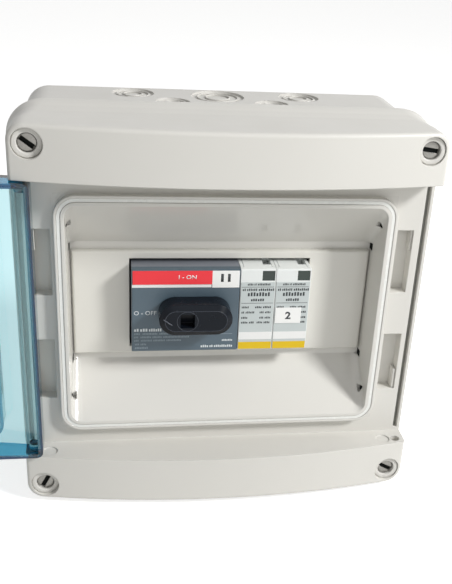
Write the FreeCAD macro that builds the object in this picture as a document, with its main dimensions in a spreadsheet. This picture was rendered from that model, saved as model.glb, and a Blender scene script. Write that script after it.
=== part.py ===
import FreeCAD, Part
import math
import os
import re
import Sketcher

# A surface-mounted dc protection box: rear base, bowed front cover with a hinged clear door,
# a module panel, and a rotary switch and two surge protectors on a top-hat rail.
# X runs to the right, Z up, and the wall is the plane Y = 0: "depth" is measured from the
# wall towards the front, so a depth is minus Y. The door is stored folded fully open.

os.makedirs("parts", exist_ok=True)
doc = FreeCAD.newDocument("dc_protection_box")
sheet = doc.addObject("Spreadsheet::Sheet", "sizes")

SIZES = {
    # rear base
    "base_width": 196.0,
    "base_height": 191.0,
    "base_depth": 47.0,
    "base_corner": 12.0,
    "base_wall": 3.0,
    "base_edge_round": 2.0,
    "rim_inset": 1.7,
    "rim_height": 3.0,
    "wall_hole_side_inset": 16.0,
    "wall_hole_end_inset": 25.5,
    "wall_hole_radius": 3.0,
    "wall_boss_radius": 6.0,
    "wall_boss_rise": 1.0,
    # knock-outs in its top and bottom walls
    "knockout_middle_x": -1.0,
    "knockout_spacing": 43.0,
    "knockout_front_x": 25.0,
    "knockout_large": 13.5,
    "knockout_medium": 10.5,
    "knockout_small": 8.5,
    "knockout_large_depth": 17.0,
    "knockout_medium_depth": 14.0,
    "knockout_rim_gap": 15.0,
    "knockout_sink": 1.0,
    # corner screws, their posts in the base and their wells in the cover
    "screw_side_inset": 7.0,
    "screw_end_inset": 6.8,
    "screw_radius": 1.9,
    "screw_reach": 11.0,
    "screw_head_radius": 4.0,
    "screw_head_rise": 2.2,
    "screw_seat_rise": 8.6,
    "screw_slot": 1.2,
    "screw_clearance": 0.1,
    "post_radius": 4.5,
    "post_hole_sink": 14.0,
    "well_radius": 6.9,
    "well_wall": 1.4,
    "well_back_gap": 2.4,
    "cover_screw_hole": 2.3,
    # front cover
    "cover_side_reach": 2.0,
    "cover_end_reach": 2.0,
    "cover_corner": 8.0,
    "bead_side_reach": 3.5,
    "bead_end_reach": 2.5,
    "bead_corner_growth": 9.4,
    "cavity_gap": 0.3,
    "seat_wall": 3.0,
    "band_height": 25.5,
    "band_rise": 12.0,
    "band_bow": 10.0,
    "band_wall": 2.5,
    "band_hollow_gap": 1.3,
    "band_round": 2.0,
    "tool_overrun": 4.0,
    # lip around the well, and the well
    "lip_side_inset": 18.0,
    "lip_end_gap": 9.3,
    "lip_corner": 10.5,
    "lip_rise": 4.0,
    "lip_thick": 4.9,
    "lip_groove_out": 1.3,
    "lip_groove_width": 1.8,
    "lip_groove_sink": 2.0,
    "well_sink": 18.0,
    "well_side_slope": 5.9,
    "well_floor_corner": 4.0,
    "well_shell": 2.5,
    "clip_slot": 3.2,
    "clip_overlap": 1.5,
    "clip_near_floor": 1.9,
    "clip_near_seat": 4.5,
    "clip_low_inset": 1.5,
    "clip_high_inset": 15.7,
    # side strips beside the lip
    "groove_inset": 3.9,
    "groove_width": 2.3,
    "groove_sink": 2.5,
    "groove_end_gap": 2.0,
    "pocket_sink": 6.5,
    "pocket_wall": 1.5,
    "upper_pocket_gap": 2.0,
    "upper_pocket_width": 8.3,
    "upper_pocket_low": 11.6,
    "upper_pocket_high": 45.2,
    "lower_pocket_gap": 2.1,
    "lower_pocket_width": 9.4,
    "lower_pocket_low": -45.3,
    "lower_pocket_high": -12.3,
    # door and its hinge
    "hinge_inset": 5.0,
    "hinge_rise": 8.3,
    "hinge_pin_radius": 2.5,
    "hinge_fit": 0.05,
    "hinge_pin_reach": 4.1,
    "hinge_end_play": 1.0,
    "hinge_boss_radius": 3.2,
    "hinge_boss_rise": 3.0,
    "hinge_dimple_gap": 6.8,
    "hinge_dimple_radius": 3.7,
    "hinge_dimple_sink": 0.5,
    "door_rest_angle": -180.0,
    "door_side_gap": 1.0,
    "door_end_gap": 0.5,
    "door_seat_gap": 1.5,
    "door_wall": 2.4,
    "door_inset": 0.2,
    "door_corner": 3.5,
    "door_rib_thick": 1.6,
    "door_rib_gap": 0.4,
    "hook_gap": 5.0,
    "hook_thick": 2.0,
    "hook_half_width": 5.0,
    "hook_reach": 4.5,
    "hook_barb": 1.2,
    # gaskets
    "cover_gasket_thick": 1.2,
    "cover_gasket_width": 1.3,
    "lip_gasket_rise": 1.8,
    "gasket_gap": 0.1,
    # module panel
    "panel_end_gap": 0.7,
    "panel_end_lap": 1.4,
    "panel_opening_gap": 3.0,
    "panel_lap": 3.0,
    "panel_margin": 4.0,
    "panel_thick": 3.0,
    "panel_edge_round": 1.2,
    "panel_back_gap": 4.0,
    "window_gap": 0.8,
    "window_end_gap": 2.0,
    # top-hat rail
    "rail_height": 35.0,
    "rail_rise": 7.5,
    "rail_sheet": 1.0,
    "rail_flange": 5.0,
    "rail_end_gap": 11.0,
    "rail_screw_inset": 12.0,
    "rail_hole_radius": 2.2,
    "rail_head_radius": 3.8,
    "rail_head_rise": 2.2,
    "rail_tip_depth": 1.0,
    "rail_pad_half": 6.0,
    "rail_pad_rise": 1.5,
    # modular devices
    "module_pitch": 18.0,
    "module_gap": 0.1,
    "device_centre_x": -1.5,
    "device_shoulder": 44.0,
    "device_height": 61.0,
    "nose_half_height": 22.5,
    "foot_reach": 4.0,
    "foot_thick": 4.0,
    "foot_lip": 1.6,
    "foot_gap": 0.3,
    "terminal_gap": 10.5,
    "terminal_hole_radius": 3.4,
    "terminal_hole_sink": 12.0,
    "terminal_head_radius": 3.1,
    "terminal_head_rise": 2.4,
    "wire_hole_radius": 3.4,
    "wire_hole_sink": 7.0,
    "wire_hole_rise": 22.0,
    # rotary switch
    "switch_half_height": 42.5,
    "switch_face_thick": 4.0,
    "switch_face_round": 0.5,
    "shaft_radius": 5.0,
    "shaft_inside": 22.0,
    "shaft_grip": 3.3,
    "shaft_end_gap": 0.3,
    "handle_gap": 0.7,
    "handle_skirt": 9.8,
    "handle_rise": 11.5,
    "handle_radius": 8.2,
    "handle_top_radius": 5.6,
    "handle_left": 13.8,
    "handle_right": 22.4,
    "lock_width": 7.0,
    "lock_height": 7.2,
    "lock_sink": 6.0,
    "label_thick": 0.3,
    "label_end_gap": 0.6,
    "label_height": 7.2,
    "label_margin": 0.5,
    "sticker_width": 13.6,
    "sticker_height": 9.0,
    # surge protectors
    "surge_half_height": 45.0,
    "cheek_thick": 1.6,
    "cap_thick": 3.0,
    "cartridge_gap": 0.2,
    "cartridge_plug": 16.0,
    "cartridge_end_gap": 2.5,
    "cartridge_edge": 0.6,
    "grip_notch_width": 4.0,
    "grip_notch_sink": 3.0,
    "grip_notch_reach": 3.5,
    "contact_end_gap": 8.0,
    "contact_half_width": 2.5,
    "contact_half_thick": 0.6,
    "contact_length": 8.0,
    "contact_slot_gap": 0.5,
    "indicator_width": 6.4,
    "indicator_height": 5.4,
    "indicator_side_gap": 0.5,
    "indicator_end_gap": 0.8,
    "indicator_sink": 1.0,
    "indicator_thick": 0.8,
    "surge_label_gap": 0.8,
    "surge_label_side_gap": 0.3,
    "surge_label_end_gap": 0.7,
    "surge_sticker_width": 13.4,
    "surge_sticker_low_z": -7.2,
    "surge_sticker_high_z": 1.5,
}

# What fits in, seats on or lines up with something takes its size or place from it.
TIED = {
    "cover_width": "base_width + 2 * cover_side_reach",
    "cover_height": "base_height + 2 * cover_end_reach",
    "wall_hole_x": "base_width / 2 - wall_hole_side_inset",
    "wall_hole_z": "base_height / 2 - wall_hole_end_inset",
    "screw_x": "base_width / 2 - screw_side_inset",
    "screw_z": "base_height / 2 - screw_end_inset",
    "screw_tip_depth": "base_depth - screw_reach",
    "knockout_small_depth": "base_depth - knockout_rim_gap",
    "rail_back_depth": "base_wall + rail_pad_rise",
    "rail_front_depth": "rail_back_depth + rail_rise",
    "rail_half_length": "base_width / 2 - base_wall - rail_end_gap",
    "rail_screw_x": "rail_half_length - rail_screw_inset",
    "rail_web_height": "rail_height - 2 * rail_flange",
    "foot_back_depth": "rail_front_depth - foot_reach",
    "foot_half_height": "rail_height / 2 + foot_thick",
    "shoulder_depth": "rail_front_depth + device_shoulder",
    "device_front_depth": "rail_front_depth + device_height",
    "wire_hole_depth": "rail_front_depth + wire_hole_rise",
    "terminal_z": "nose_half_height + terminal_gap",
    "well_floor_depth": "shoulder_depth + panel_back_gap",
    "seat_depth": "well_floor_depth + well_sink",
    "cover_back_depth": "base_depth + cover_gasket_thick",
    "screw_seat_depth": "seat_depth + screw_seat_rise",
    "well_back_depth": "cover_back_depth + well_back_gap",
    "band_end_depth": "seat_depth + band_rise",
    "band_middle_depth": "band_end_depth + band_bow",
    "front_limit": "band_middle_depth + tool_overrun",
    "seat_half_height": "cover_height / 2 - band_height",
    "cavity_half_width": "base_width / 2 - rim_inset + cavity_gap",
    "cavity_half_height": "base_height / 2 - rim_inset + cavity_gap",
    "band_hollow_half": "screw_x - well_radius - well_wall - band_hollow_gap",
    "lip_half_width": "cover_width / 2 - lip_side_inset",
    "lip_half_height": "seat_half_height - lip_end_gap",
    "panel_opening_half_height": "nose_half_height + panel_opening_gap",
    "panel_half_height": "panel_opening_half_height + panel_lap",
    "well_floor_half_height": "panel_half_height + panel_margin",
    "well_floor_half_width": "lip_half_width - well_side_slope",
    "panel_half_width": "well_floor_half_width - panel_end_gap",
    "panel_opening_half_width": "panel_half_width - panel_end_lap",
    "panel_front_depth": "well_floor_depth + panel_thick",
    "groove_x": "cover_width / 2 - groove_inset",
    "groove_half_height": "seat_half_height - groove_end_gap",
    "hinge_x": "cover_width / 2 - hinge_inset",
    "hinge_depth": "seat_depth + hinge_rise",
    "hinge_hole_sink": "hinge_pin_reach - door_end_gap + hinge_end_play",
    "door_half_width": "cover_width / 2 - door_side_gap",
    "door_half_height": "seat_half_height - door_end_gap",
    "door_back_depth": "seat_depth + door_seat_gap",
    "lip_gasket_depth": "seat_depth + lip_rise - lip_groove_sink",
    "door_rib_depth": "lip_gasket_depth + lip_gasket_rise + door_rib_gap",
    "hook_x": "lip_half_width + hook_gap",
    "hook_tip_depth": "seat_depth - hook_reach",
    "devices_half_width": "2.5 * module_pitch",
    "switch_face_back": "device_front_depth - switch_face_thick",
    "shaft_back_depth": "device_front_depth - shaft_inside",
    "handle_back_depth": "device_front_depth + handle_gap",
    "handle_front_depth": "handle_back_depth + handle_rise",
    "shaft_front_depth": "handle_back_depth + shaft_grip",
    "label_high_z": "nose_half_height - label_end_gap",
    "label_low_z": "label_high_z - label_height",
    "sticker_low_z": "label_high_z - sticker_height",
    "cap_back_depth": "device_front_depth - cap_thick",
    "cap_half_width": "module_pitch / 2 - module_gap",
    "cheek_depth": "cap_back_depth - cartridge_gap",
    "bay_half_width": "cap_half_width - cheek_thick",
    "plug_half_width": "bay_half_width - cartridge_gap",
    "cartridge_back_depth": "shoulder_depth - cartridge_plug",
    "cartridge_half_height": "nose_half_height - cartridge_end_gap",
    "grip_notch_depth": "panel_front_depth + grip_notch_reach",
    "contact_z": "cartridge_half_height - contact_end_gap",
    "indicator_high_z": "nose_half_height - indicator_end_gap",
    "indicator_low_z": "indicator_high_z - indicator_height",
    "surge_label_high_z": "indicator_low_z - surge_label_gap",
    "surge_label_low_z": "-nose_half_height + surge_label_end_gap",
}

for row, (alias, value) in enumerate(SIZES.items(), start=1):
    sheet.set(f"A{row}", alias)
    sheet.set(f"B{row}", str(value))
    sheet.setAlias(f"B{row}", alias)
doc.recompute()

# How near a place or a direction an edge must be to be taken, in mm or as a cosine.
EDGE_FOUND = 0.01

# Every name of a size holds an underscore, which tells it from a function in a formula.
NAME = re.compile(r"[a-z0-9]+(?:_[a-z0-9]+)+")


def formula(text):
    def write_out(found):
        name = found.group(0)
        if name in TIED:
            return "(" + formula(TIED[name]) + ")"
        return "sizes." + name

    return NAME.sub(write_out, str(text))


def number(text):
    result = sheet.evalExpression(formula(text))
    return float(getattr(result, "Value", result))


def new_body(name):
    body = doc.addObject("PartDesign::Body", name)
    body.Label = name
    return body


def new_sketch(body, plane, offset):
    # On XZ_Plane the sketch's own x and y are X and Z and the offset is a depth;
    # on XY_Plane they are X and Y, on YZ_Plane Y and Z, and the offset is a height or an X.
    support = [item for item in body.Origin.OriginFeatures if item.Role == plane][0]
    sketch = body.newObject("Sketcher::SketchObject", body.Name + "_sketch")
    sketch.AttachmentSupport = (support, [""])
    sketch.MapMode = "FlatFace"
    sketch.setExpression("AttachmentOffset.Base.z", formula(offset))
    return sketch


def pin_point(sketch, geometry, point, x, y):
    for kind, text in (("DistanceX", x), ("DistanceY", y)):
        index = sketch.addConstraint(
            Sketcher.Constraint(kind, -1, 1, geometry, point, number(text)))
        sketch.setExpression(f"Constraints[{index}]", formula(text))


def draw_polygon(sketch, points):
    corners = [FreeCAD.Vector(number(x), number(y), 0) for x, y in points]
    first = len(sketch.Geometry)
    count = len(points)
    for step in range(count):
        line = Part.LineSegment(corners[step], corners[(step + 1) % count])
        sketch.addGeometry(line)
    for step in range(count):
        following = first + (step + 1) % count
        sketch.addConstraint(Sketcher.Constraint("Coincident", first + step, 2, following, 1))
    for step, (x, y) in enumerate(points):
        pin_point(sketch, first + step, 1, x, y)


def draw_box(sketch, left, right, low, high):
    draw_polygon(sketch, [(left, low), (right, low), (right, high), (left, high)])


def draw_circle(sketch, x, y, radius):
    centre = FreeCAD.Vector(number(x), number(y), 0)
    circle = sketch.addGeometry(Part.Circle(centre, FreeCAD.Vector(0, 0, 1), number(radius)))
    index = sketch.addConstraint(Sketcher.Constraint("Radius", circle, number(radius)))
    sketch.setExpression(f"Constraints[{index}]", formula(radius))
    pin_point(sketch, circle, 3, x, y)


def draw_rounded(sketch, half_width, half_height, corner):
    # Four sides and four quarter arcs, going anticlockwise from the bottom side.
    width, height, radius = number(half_width), number(half_height), number(corner)
    flat_x, flat_y = width - radius, height - radius
    vector = FreeCAD.Vector
    sides = [
        (vector(-flat_x, -height, 0), vector(flat_x, -height, 0)),
        (vector(width, -flat_y, 0), vector(width, flat_y, 0)),
        (vector(flat_x, height, 0), vector(-flat_x, height, 0)),
        (vector(-width, flat_y, 0), vector(-width, -flat_y, 0)),
    ]
    centres = [(flat_x, -flat_y), (flat_x, flat_y), (-flat_x, flat_y), (-flat_x, -flat_y)]
    lines = []
    arcs = []
    for quarter in range(4):
        lines.append(sketch.addGeometry(Part.LineSegment(*sides[quarter])))
        centre = vector(*centres[quarter], 0)
        circle = Part.Circle(centre, vector(0, 0, 1), radius)
        start = (quarter - 1) * math.pi / 2
        arcs.append(sketch.addGeometry(Part.ArcOfCircle(circle, start, start + math.pi / 2)))
    for quarter in range(4):
        following = lines[(quarter + 1) % 4]
        arc = arcs[quarter]
        sketch.addConstraint(Sketcher.Constraint("Tangent", lines[quarter], 2, arc, 1))
        sketch.addConstraint(Sketcher.Constraint("Tangent", arc, 2, following, 1))
        direction = "Vertical" if quarter % 2 else "Horizontal"
        sketch.addConstraint(Sketcher.Constraint(direction, lines[quarter]))
    for arc in arcs[1:]:
        sketch.addConstraint(Sketcher.Constraint("Equal", arcs[0], arc))
    index = sketch.addConstraint(Sketcher.Constraint("Radius", arcs[0], radius))
    sketch.setExpression(f"Constraints[{index}]", formula(corner))
    limits = [
        ("DistanceX", lines[1], half_width, width),
        ("DistanceX", lines[3], f"-({half_width})", -width),
        ("DistanceY", lines[2], half_height, height),
        ("DistanceY", lines[0], f"-({half_height})", -height),
    ]
    for kind, line, text, value in limits:
        index = sketch.addConstraint(Sketcher.Constraint(kind, -1, 1, line, 1, value))
        sketch.setExpression(f"Constraints[{index}]", formula(text))


def draw_bow(sketch, half_width, end_depth, middle_depth, far_depth):
    # A region seen from above, between a bowed arc and a straight line at far_depth.
    half, end = number(half_width), number(end_depth)
    middle, far = number(middle_depth), number(far_depth)
    vector = FreeCAD.Vector
    arc = sketch.addGeometry(
        Part.Arc(vector(-half, -end, 0), vector(0, -middle, 0), vector(half, -end, 0)))
    right = sketch.addGeometry(Part.LineSegment(vector(half, -end, 0), vector(half, -far, 0)))
    back = sketch.addGeometry(Part.LineSegment(vector(half, -far, 0), vector(-half, -far, 0)))
    left = sketch.addGeometry(Part.LineSegment(vector(-half, -far, 0), vector(-half, -end, 0)))
    pin_point(sketch, right, 1, half_width, f"-({end_depth})")
    pin_point(sketch, back, 1, half_width, f"-({far_depth})")
    pin_point(sketch, left, 1, f"-({half_width})", f"-({far_depth})")
    pin_point(sketch, left, 2, f"-({half_width})", f"-({end_depth})")
    arc_ends = {}
    for point in (1, 2):
        arc_ends[point] = sketch.getPoint(arc, point).x
    left_end = 1 if arc_ends[1] < arc_ends[2] else 2
    sketch.addConstraint(Sketcher.Constraint("Coincident", arc, 3 - left_end, right, 1))
    sketch.addConstraint(Sketcher.Constraint("Coincident", right, 2, back, 1))
    sketch.addConstraint(Sketcher.Constraint("Coincident", back, 2, left, 1))
    sketch.addConstraint(Sketcher.Constraint("Coincident", arc, left_end, left, 2))
    bow = f"(({middle_depth}) - ({end_depth}))"
    radius = f"(({half_width})^2 + {bow}^2) / (2 * {bow})"
    index = sketch.addConstraint(Sketcher.Constraint("Radius", arc, number(radius)))
    sketch.setExpression(f"Constraints[{index}]", formula(radius))


def draw_stadium(sketch, left, right, radius):
    # Two half circles about centres on the x axis, joined by straight sides.
    low_x, high_x, size = number(left), number(right), number(radius)
    vector = FreeCAD.Vector
    half_turn = math.pi / 2
    arcs = []
    for middle, start in ((high_x, -half_turn), (low_x, half_turn)):
        circle = Part.Circle(vector(middle, 0, 0), vector(0, 0, 1), size)
        arcs.append(sketch.addGeometry(Part.ArcOfCircle(circle, start, start + math.pi)))
    top = sketch.addGeometry(Part.LineSegment(vector(high_x, size, 0), vector(low_x, size, 0)))
    bottom = sketch.addGeometry(
        Part.LineSegment(vector(low_x, -size, 0), vector(high_x, -size, 0)))
    around = [arcs[0], top, arcs[1], bottom]
    for place, first in enumerate(around):
        following = around[(place + 1) % len(around)]
        sketch.addConstraint(Sketcher.Constraint("Tangent", first, 2, following, 1))
    index = sketch.addConstraint(Sketcher.Constraint("Radius", arcs[0], size))
    sketch.setExpression(f"Constraints[{index}]", formula(radius))
    pin_point(sketch, arcs[0], 3, right, "0")
    index = sketch.addConstraint(Sketcher.Constraint("DistanceX", -1, 1, arcs[1], 3, low_x))
    sketch.setExpression(f"Constraints[{index}]", formula(left))


def pad(body, sketch, length):
    feature = body.newObject("PartDesign::Pad", body.Name + "_pad")
    feature.Profile = sketch
    feature.setExpression("Length", formula(length))
    doc.recompute()
    return feature


def cut(body, sketch, length):
    # A pocket runs against its sketch's normal: towards the wall from XZ_Plane, down from
    # XY_Plane and to the left from YZ_Plane.
    before = body.Shape.Volume
    feature = body.newObject("PartDesign::Pocket", body.Name + "_cut")
    feature.Profile = sketch
    feature.Reversed = False
    feature.setExpression("Length", formula(length))
    doc.recompute()
    if not feature.Shape.Volume < before:
        raise RuntimeError(f"{feature.Name} removed nothing")
    return feature


def loft(body, kind, sketches):
    feature = body.newObject(f"PartDesign::{kind}", body.Name + "_loft")
    feature.Profile = sketches[0]
    feature.Sections = sketches[1:]
    feature.Ruled = True
    doc.recompute()
    return feature


def round_edges(body, radius, wanted, kind="Fillet"):
    base = body.Tip
    names = [f"Edge{place}" for place, edge in enumerate(base.Shape.Edges, 1) if wanted(edge)]
    if not names:
        raise RuntimeError(f"{body.Name} has no edge to round")
    feature = body.newObject(f"PartDesign::{kind}", body.Name + "_edge")
    feature.Base = (base, names)
    feature.setExpression("Radius" if kind == "Fillet" else "Size", formula(radius))
    doc.recompute()
    return feature


def runs_along(edge, axis):
    if edge.Curve.TypeId != "Part::GeomLine":
        return False
    return abs(getattr(edge.Curve.Direction, axis)) > 1 - EDGE_FOUND


def edge_middle(edge):
    first, last = edge.ParameterRange
    return edge.valueAt((first + last) / 2)


def at_depth(edge, depth):
    box = edge.BoundBox
    return abs(box.YMin + depth) < EDGE_FOUND and abs(box.YMax + depth) < EDGE_FOUND


def front_cross_edge(edge):
    return runs_along(edge, "x") and at_depth(edge, number("device_front_depth"))


def rounded_plate(body, half_width, half_height, corner, near, length):
    sketch = new_sketch(body, "XZ_Plane", near)
    draw_rounded(sketch, half_width, half_height, corner)
    return pad(body, sketch, length)


# The rear base: a tray whose thin rim stands inside the cover.
base = new_body("rear_base")
rounded_plate(base, "base_width / 2", "base_height / 2", "base_corner", "0", "base_depth")
round_edges(base, "base_edge_round", lambda edge: at_depth(edge, 0.0), "Chamfer")
rounded_plate(base, "base_width / 2 - rim_inset", "base_height / 2 - rim_inset",
              "base_corner - rim_inset", "base_depth", "rim_height")
inside = new_sketch(base, "XZ_Plane", "base_depth + rim_height")
draw_rounded(inside, "base_width / 2 - base_wall", "base_height / 2 - base_wall",
             "base_corner - base_wall")
cut(base, inside, "base_depth + rim_height - base_wall")

SIDES = ("-", "")
CORNERS = [(side, level) for side in SIDES for level in SIDES]
posts = new_sketch(base, "XZ_Plane", "base_wall")
bosses = new_sketch(base, "XZ_Plane", "base_wall")
for side, level in CORNERS:
    draw_circle(posts, side + "screw_x", level + "screw_z", "post_radius")
    draw_circle(bosses, side + "wall_hole_x", level + "wall_hole_z", "wall_boss_radius")
pad(base, posts, "base_depth - base_wall")
pad(base, bosses, "wall_boss_rise")
rail_pads = new_sketch(base, "XZ_Plane", "base_wall")
for side in SIDES:
    draw_box(rail_pads, side + "rail_screw_x - rail_pad_half", side + "rail_screw_x + rail_pad_half",
             "-rail_pad_half", "rail_pad_half")
pad(base, rail_pads, "rail_pad_rise")

post_holes = new_sketch(base, "XZ_Plane", "base_depth")
wall_holes = new_sketch(base, "XZ_Plane", "base_wall + wall_boss_rise")
for side, level in CORNERS:
    draw_circle(post_holes, side + "screw_x", level + "screw_z", "screw_radius + screw_clearance")
    draw_circle(wall_holes, side + "wall_hole_x", level + "wall_hole_z", "wall_hole_radius")
cut(base, post_holes, "post_hole_sink")
cut(base, wall_holes, "base_wall + wall_boss_rise")
rail_holes = new_sketch(base, "XZ_Plane", "rail_back_depth")
for side in SIDES:
    draw_circle(rail_holes, side + "rail_screw_x", "0", "screw_radius + screw_clearance")
cut(base, rail_holes, "rail_back_depth - rail_tip_depth + screw_clearance")

# Knock-outs: across, depth from the wall, radius. Three behind and two smaller in front.
KNOCKOUTS = [
    ("knockout_middle_x - knockout_spacing", "knockout_medium_depth", "knockout_medium"),
    ("knockout_middle_x", "knockout_large_depth", "knockout_large"),
    ("knockout_middle_x + knockout_spacing", "knockout_medium_depth", "knockout_medium"),
    ("-knockout_front_x", "knockout_small_depth", "knockout_small"),
    ("knockout_front_x", "knockout_small_depth", "knockout_small"),
]
for outer_face in ("base_height / 2", "-base_height / 2 + knockout_sink"):
    knockouts = new_sketch(base, "XY_Plane", outer_face)
    for across, depth, radius in KNOCKOUTS:
        draw_circle(knockouts, across, "-" + depth, radius)
    cut(base, knockouts, "knockout_sink")

# The gasket between the base's shoulder and the cover's back edge.
gasket = new_body("cover_gasket")
ring = new_sketch(gasket, "XZ_Plane", "base_depth")
for inset in ("(rim_inset - gasket_gap - cover_gasket_width)", "(rim_inset - gasket_gap)"):
    draw_rounded(ring, f"base_width / 2 - {inset}", f"base_height / 2 - {inset}",
                 f"base_corner - {inset}")
pad(gasket, ring, "cover_gasket_thick")

# The front cover. From the back edge its outside swells to a full bead and draws in to a
# straight front, which the two bands are cut from. Each row: the share of the way to the seat,
# of the bead's reach, and of the growth of the corner.
OUTSIDE = [
    (0.0, 0.2, 0.75),
    (0.06, 0.74, 0.92),
    (0.2, 1.0, 1.0),
    (0.33, 0.83, 0.9),
    (0.47, 0.47, 0.7),
    (0.68, 0.13, 0.35),
    (1.0, 0.0, 0.0),
]
cover = new_body("front_cover")
sections = []
for way, reach, growth in OUTSIDE:
    section_depth = f"cover_back_depth + {way} * (seat_depth - cover_back_depth)"
    section = new_sketch(cover, "XZ_Plane", section_depth)
    draw_rounded(section, f"cover_width / 2 + {reach} * bead_side_reach",
                 f"cover_height / 2 + {reach} * bead_end_reach",
                 f"cover_corner + {growth} * bead_corner_growth")
    sections.append(section)
loft(cover, "AdditiveLoft", sections)
rounded_plate(cover, "cover_width / 2", "cover_height / 2", "cover_corner",
              "seat_depth", "front_limit - seat_depth")


def bow_depth(half):
    # Depth of the bands' front at a distance from the middle: full bow at the cover's edge.
    return f"(band_middle_depth - band_bow * (({half}) / (cover_width / 2))^2)"


past_side = "(cover_width / 2 + tool_overrun)"
front = new_sketch(cover, "XY_Plane", "cover_height")
draw_bow(front, past_side, bow_depth(past_side), "band_middle_depth", "front_limit + tool_overrun")
cut(cover, front, "cover_height * 2")
seat = new_sketch(cover, "XZ_Plane", "front_limit")
draw_box(seat, "-cover_width", "cover_width", "-seat_half_height", "seat_half_height")
cut(cover, seat, "front_limit - seat_depth")
cavity = new_sketch(cover, "XZ_Plane", "seat_depth - seat_wall")
draw_rounded(cavity, "cavity_half_width", "cavity_half_height",
             "base_corner - rim_inset + cavity_gap")
cut(cover, cavity, "seat_depth - seat_wall - cover_back_depth")
for top in ("cavity_half_height", "-seat_half_height - band_wall"):
    hollow = new_sketch(cover, "XY_Plane", top)
    draw_bow(hollow, "band_hollow_half", bow_depth("band_hollow_half") + " - band_wall",
             "band_middle_depth - band_wall", "seat_depth - seat_wall")
    cut(cover, hollow, "cavity_half_height - seat_half_height - band_wall")

# The sunk well: its shell first, then the screw wells, the strip pockets and the lip.
shell = []
for depth, half_width, half_height in (
        ("seat_depth", "lip_half_width - lip_groove_out", "lip_half_height - lip_groove_out"),
        ("well_floor_depth - well_shell", "well_floor_half_width + well_shell",
         "well_floor_half_height + well_shell")):
    section = new_sketch(cover, "XZ_Plane", depth)
    draw_box(section, f"-({half_width})", half_width, f"-({half_height})", half_height)
    shell.append(section)
loft(cover, "AdditiveLoft", shell)
wells = new_sketch(cover, "XZ_Plane", "well_back_depth")
for side, level in CORNERS:
    draw_circle(wells, side + "screw_x", level + "screw_z", "well_radius + well_wall")
pad(cover, wells, "band_end_depth - band_wall - well_back_depth")

# Pockets in the side strips: inner and outer distance from the middle, low and high Z.
STRIP_POCKETS = []
for pocket in ("upper_pocket", "lower_pocket"):
    inner = f"(lip_half_width + {pocket}_gap)"
    outer = f"({inner} + {pocket}_width)"
    STRIP_POCKETS.append((inner, outer, f"{pocket}_low", f"{pocket}_high"))
housings = new_sketch(cover, "XZ_Plane", "seat_depth - pocket_sink - pocket_wall")
for inner, outer, low, high in STRIP_POCKETS:
    for side in SIDES:
        draw_box(housings, f"{side}({inner} - pocket_wall)", f"{side}({outer} + pocket_wall)",
                 f"{low} - pocket_wall", f"{high} + pocket_wall")
pad(cover, housings, "pocket_sink + pocket_wall - seat_wall")
rounded_plate(cover, "lip_half_width", "lip_half_height", "lip_corner", "seat_depth", "lip_rise")

well = []
for depth, half_width, half_height, corner in (
        ("seat_depth + lip_rise", "lip_half_width - lip_thick", "lip_half_height - lip_thick",
         "lip_corner - lip_thick"),
        ("well_floor_depth", "well_floor_half_width", "well_floor_half_height",
         "well_floor_corner")):
    section = new_sketch(cover, "XZ_Plane", depth)
    draw_rounded(section, half_width, half_height, corner)
    well.append(section)
loft(cover, "SubtractiveLoft", well)
opening = new_sketch(cover, "XZ_Plane", "well_floor_depth")
draw_box(opening, "-panel_opening_half_width", "panel_opening_half_width",
         "-panel_opening_half_height", "panel_opening_half_height")
cut(cover, opening, "well_shell + tool_overrun")


def lip_rings(sketch, first_inset, second_inset):
    # Two outlines that follow the lip, the first and second inset inside its outer edge.
    for inset in (first_inset, second_inset):
        draw_rounded(sketch, f"lip_half_width - ({inset})", f"lip_half_height - ({inset})",
                     f"lip_corner - ({inset})")


lip_groove = new_sketch(cover, "XZ_Plane", "seat_depth + lip_rise")
lip_rings(lip_groove, "lip_groove_out", "lip_groove_out + lip_groove_width")
cut(cover, lip_groove, "lip_groove_sink")

side_grooves = new_sketch(cover, "XZ_Plane", "seat_depth")
for side in SIDES:
    draw_box(side_grooves, f"{side}groove_x", f"{side}(groove_x + groove_width)",
             "-groove_half_height", "groove_half_height")
cut(cover, side_grooves, "groove_sink")
strip_pockets = new_sketch(cover, "XZ_Plane", "seat_depth")
for inner, outer, low, high in STRIP_POCKETS:
    for side in SIDES:
        draw_box(strip_pockets, side + inner, side + outer, low, high)
cut(cover, strip_pockets, "pocket_sink")

recesses = new_sketch(cover, "XZ_Plane", "front_limit")
screw_holes = new_sketch(cover, "XZ_Plane", "screw_seat_depth")
for side, level in CORNERS:
    draw_circle(recesses, side + "screw_x", level + "screw_z", "well_radius")
    draw_circle(screw_holes, side + "screw_x", level + "screw_z", "cover_screw_hole")
cut(cover, recesses, "front_limit - screw_seat_depth")
cut(cover, screw_holes, "screw_seat_depth - well_back_depth + tool_overrun")
for hole_top in ("seat_half_height + hinge_hole_sink", "-seat_half_height"):
    pin_holes = new_sketch(cover, "XY_Plane", hole_top)
    for side in SIDES:
        draw_circle(pin_holes, side + "hinge_x", "-hinge_depth", "hinge_pin_radius + hinge_fit")
    cut(cover, pin_holes, "hinge_hole_sink")
dimples = new_sketch(cover, "XY_Plane", "-seat_half_height")
for side in SIDES:
    draw_circle(dimples, f"{side}(hinge_x - hinge_dimple_gap)", "-hinge_depth", "hinge_dimple_radius")
cut(cover, dimples, "hinge_dimple_sink")

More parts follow.
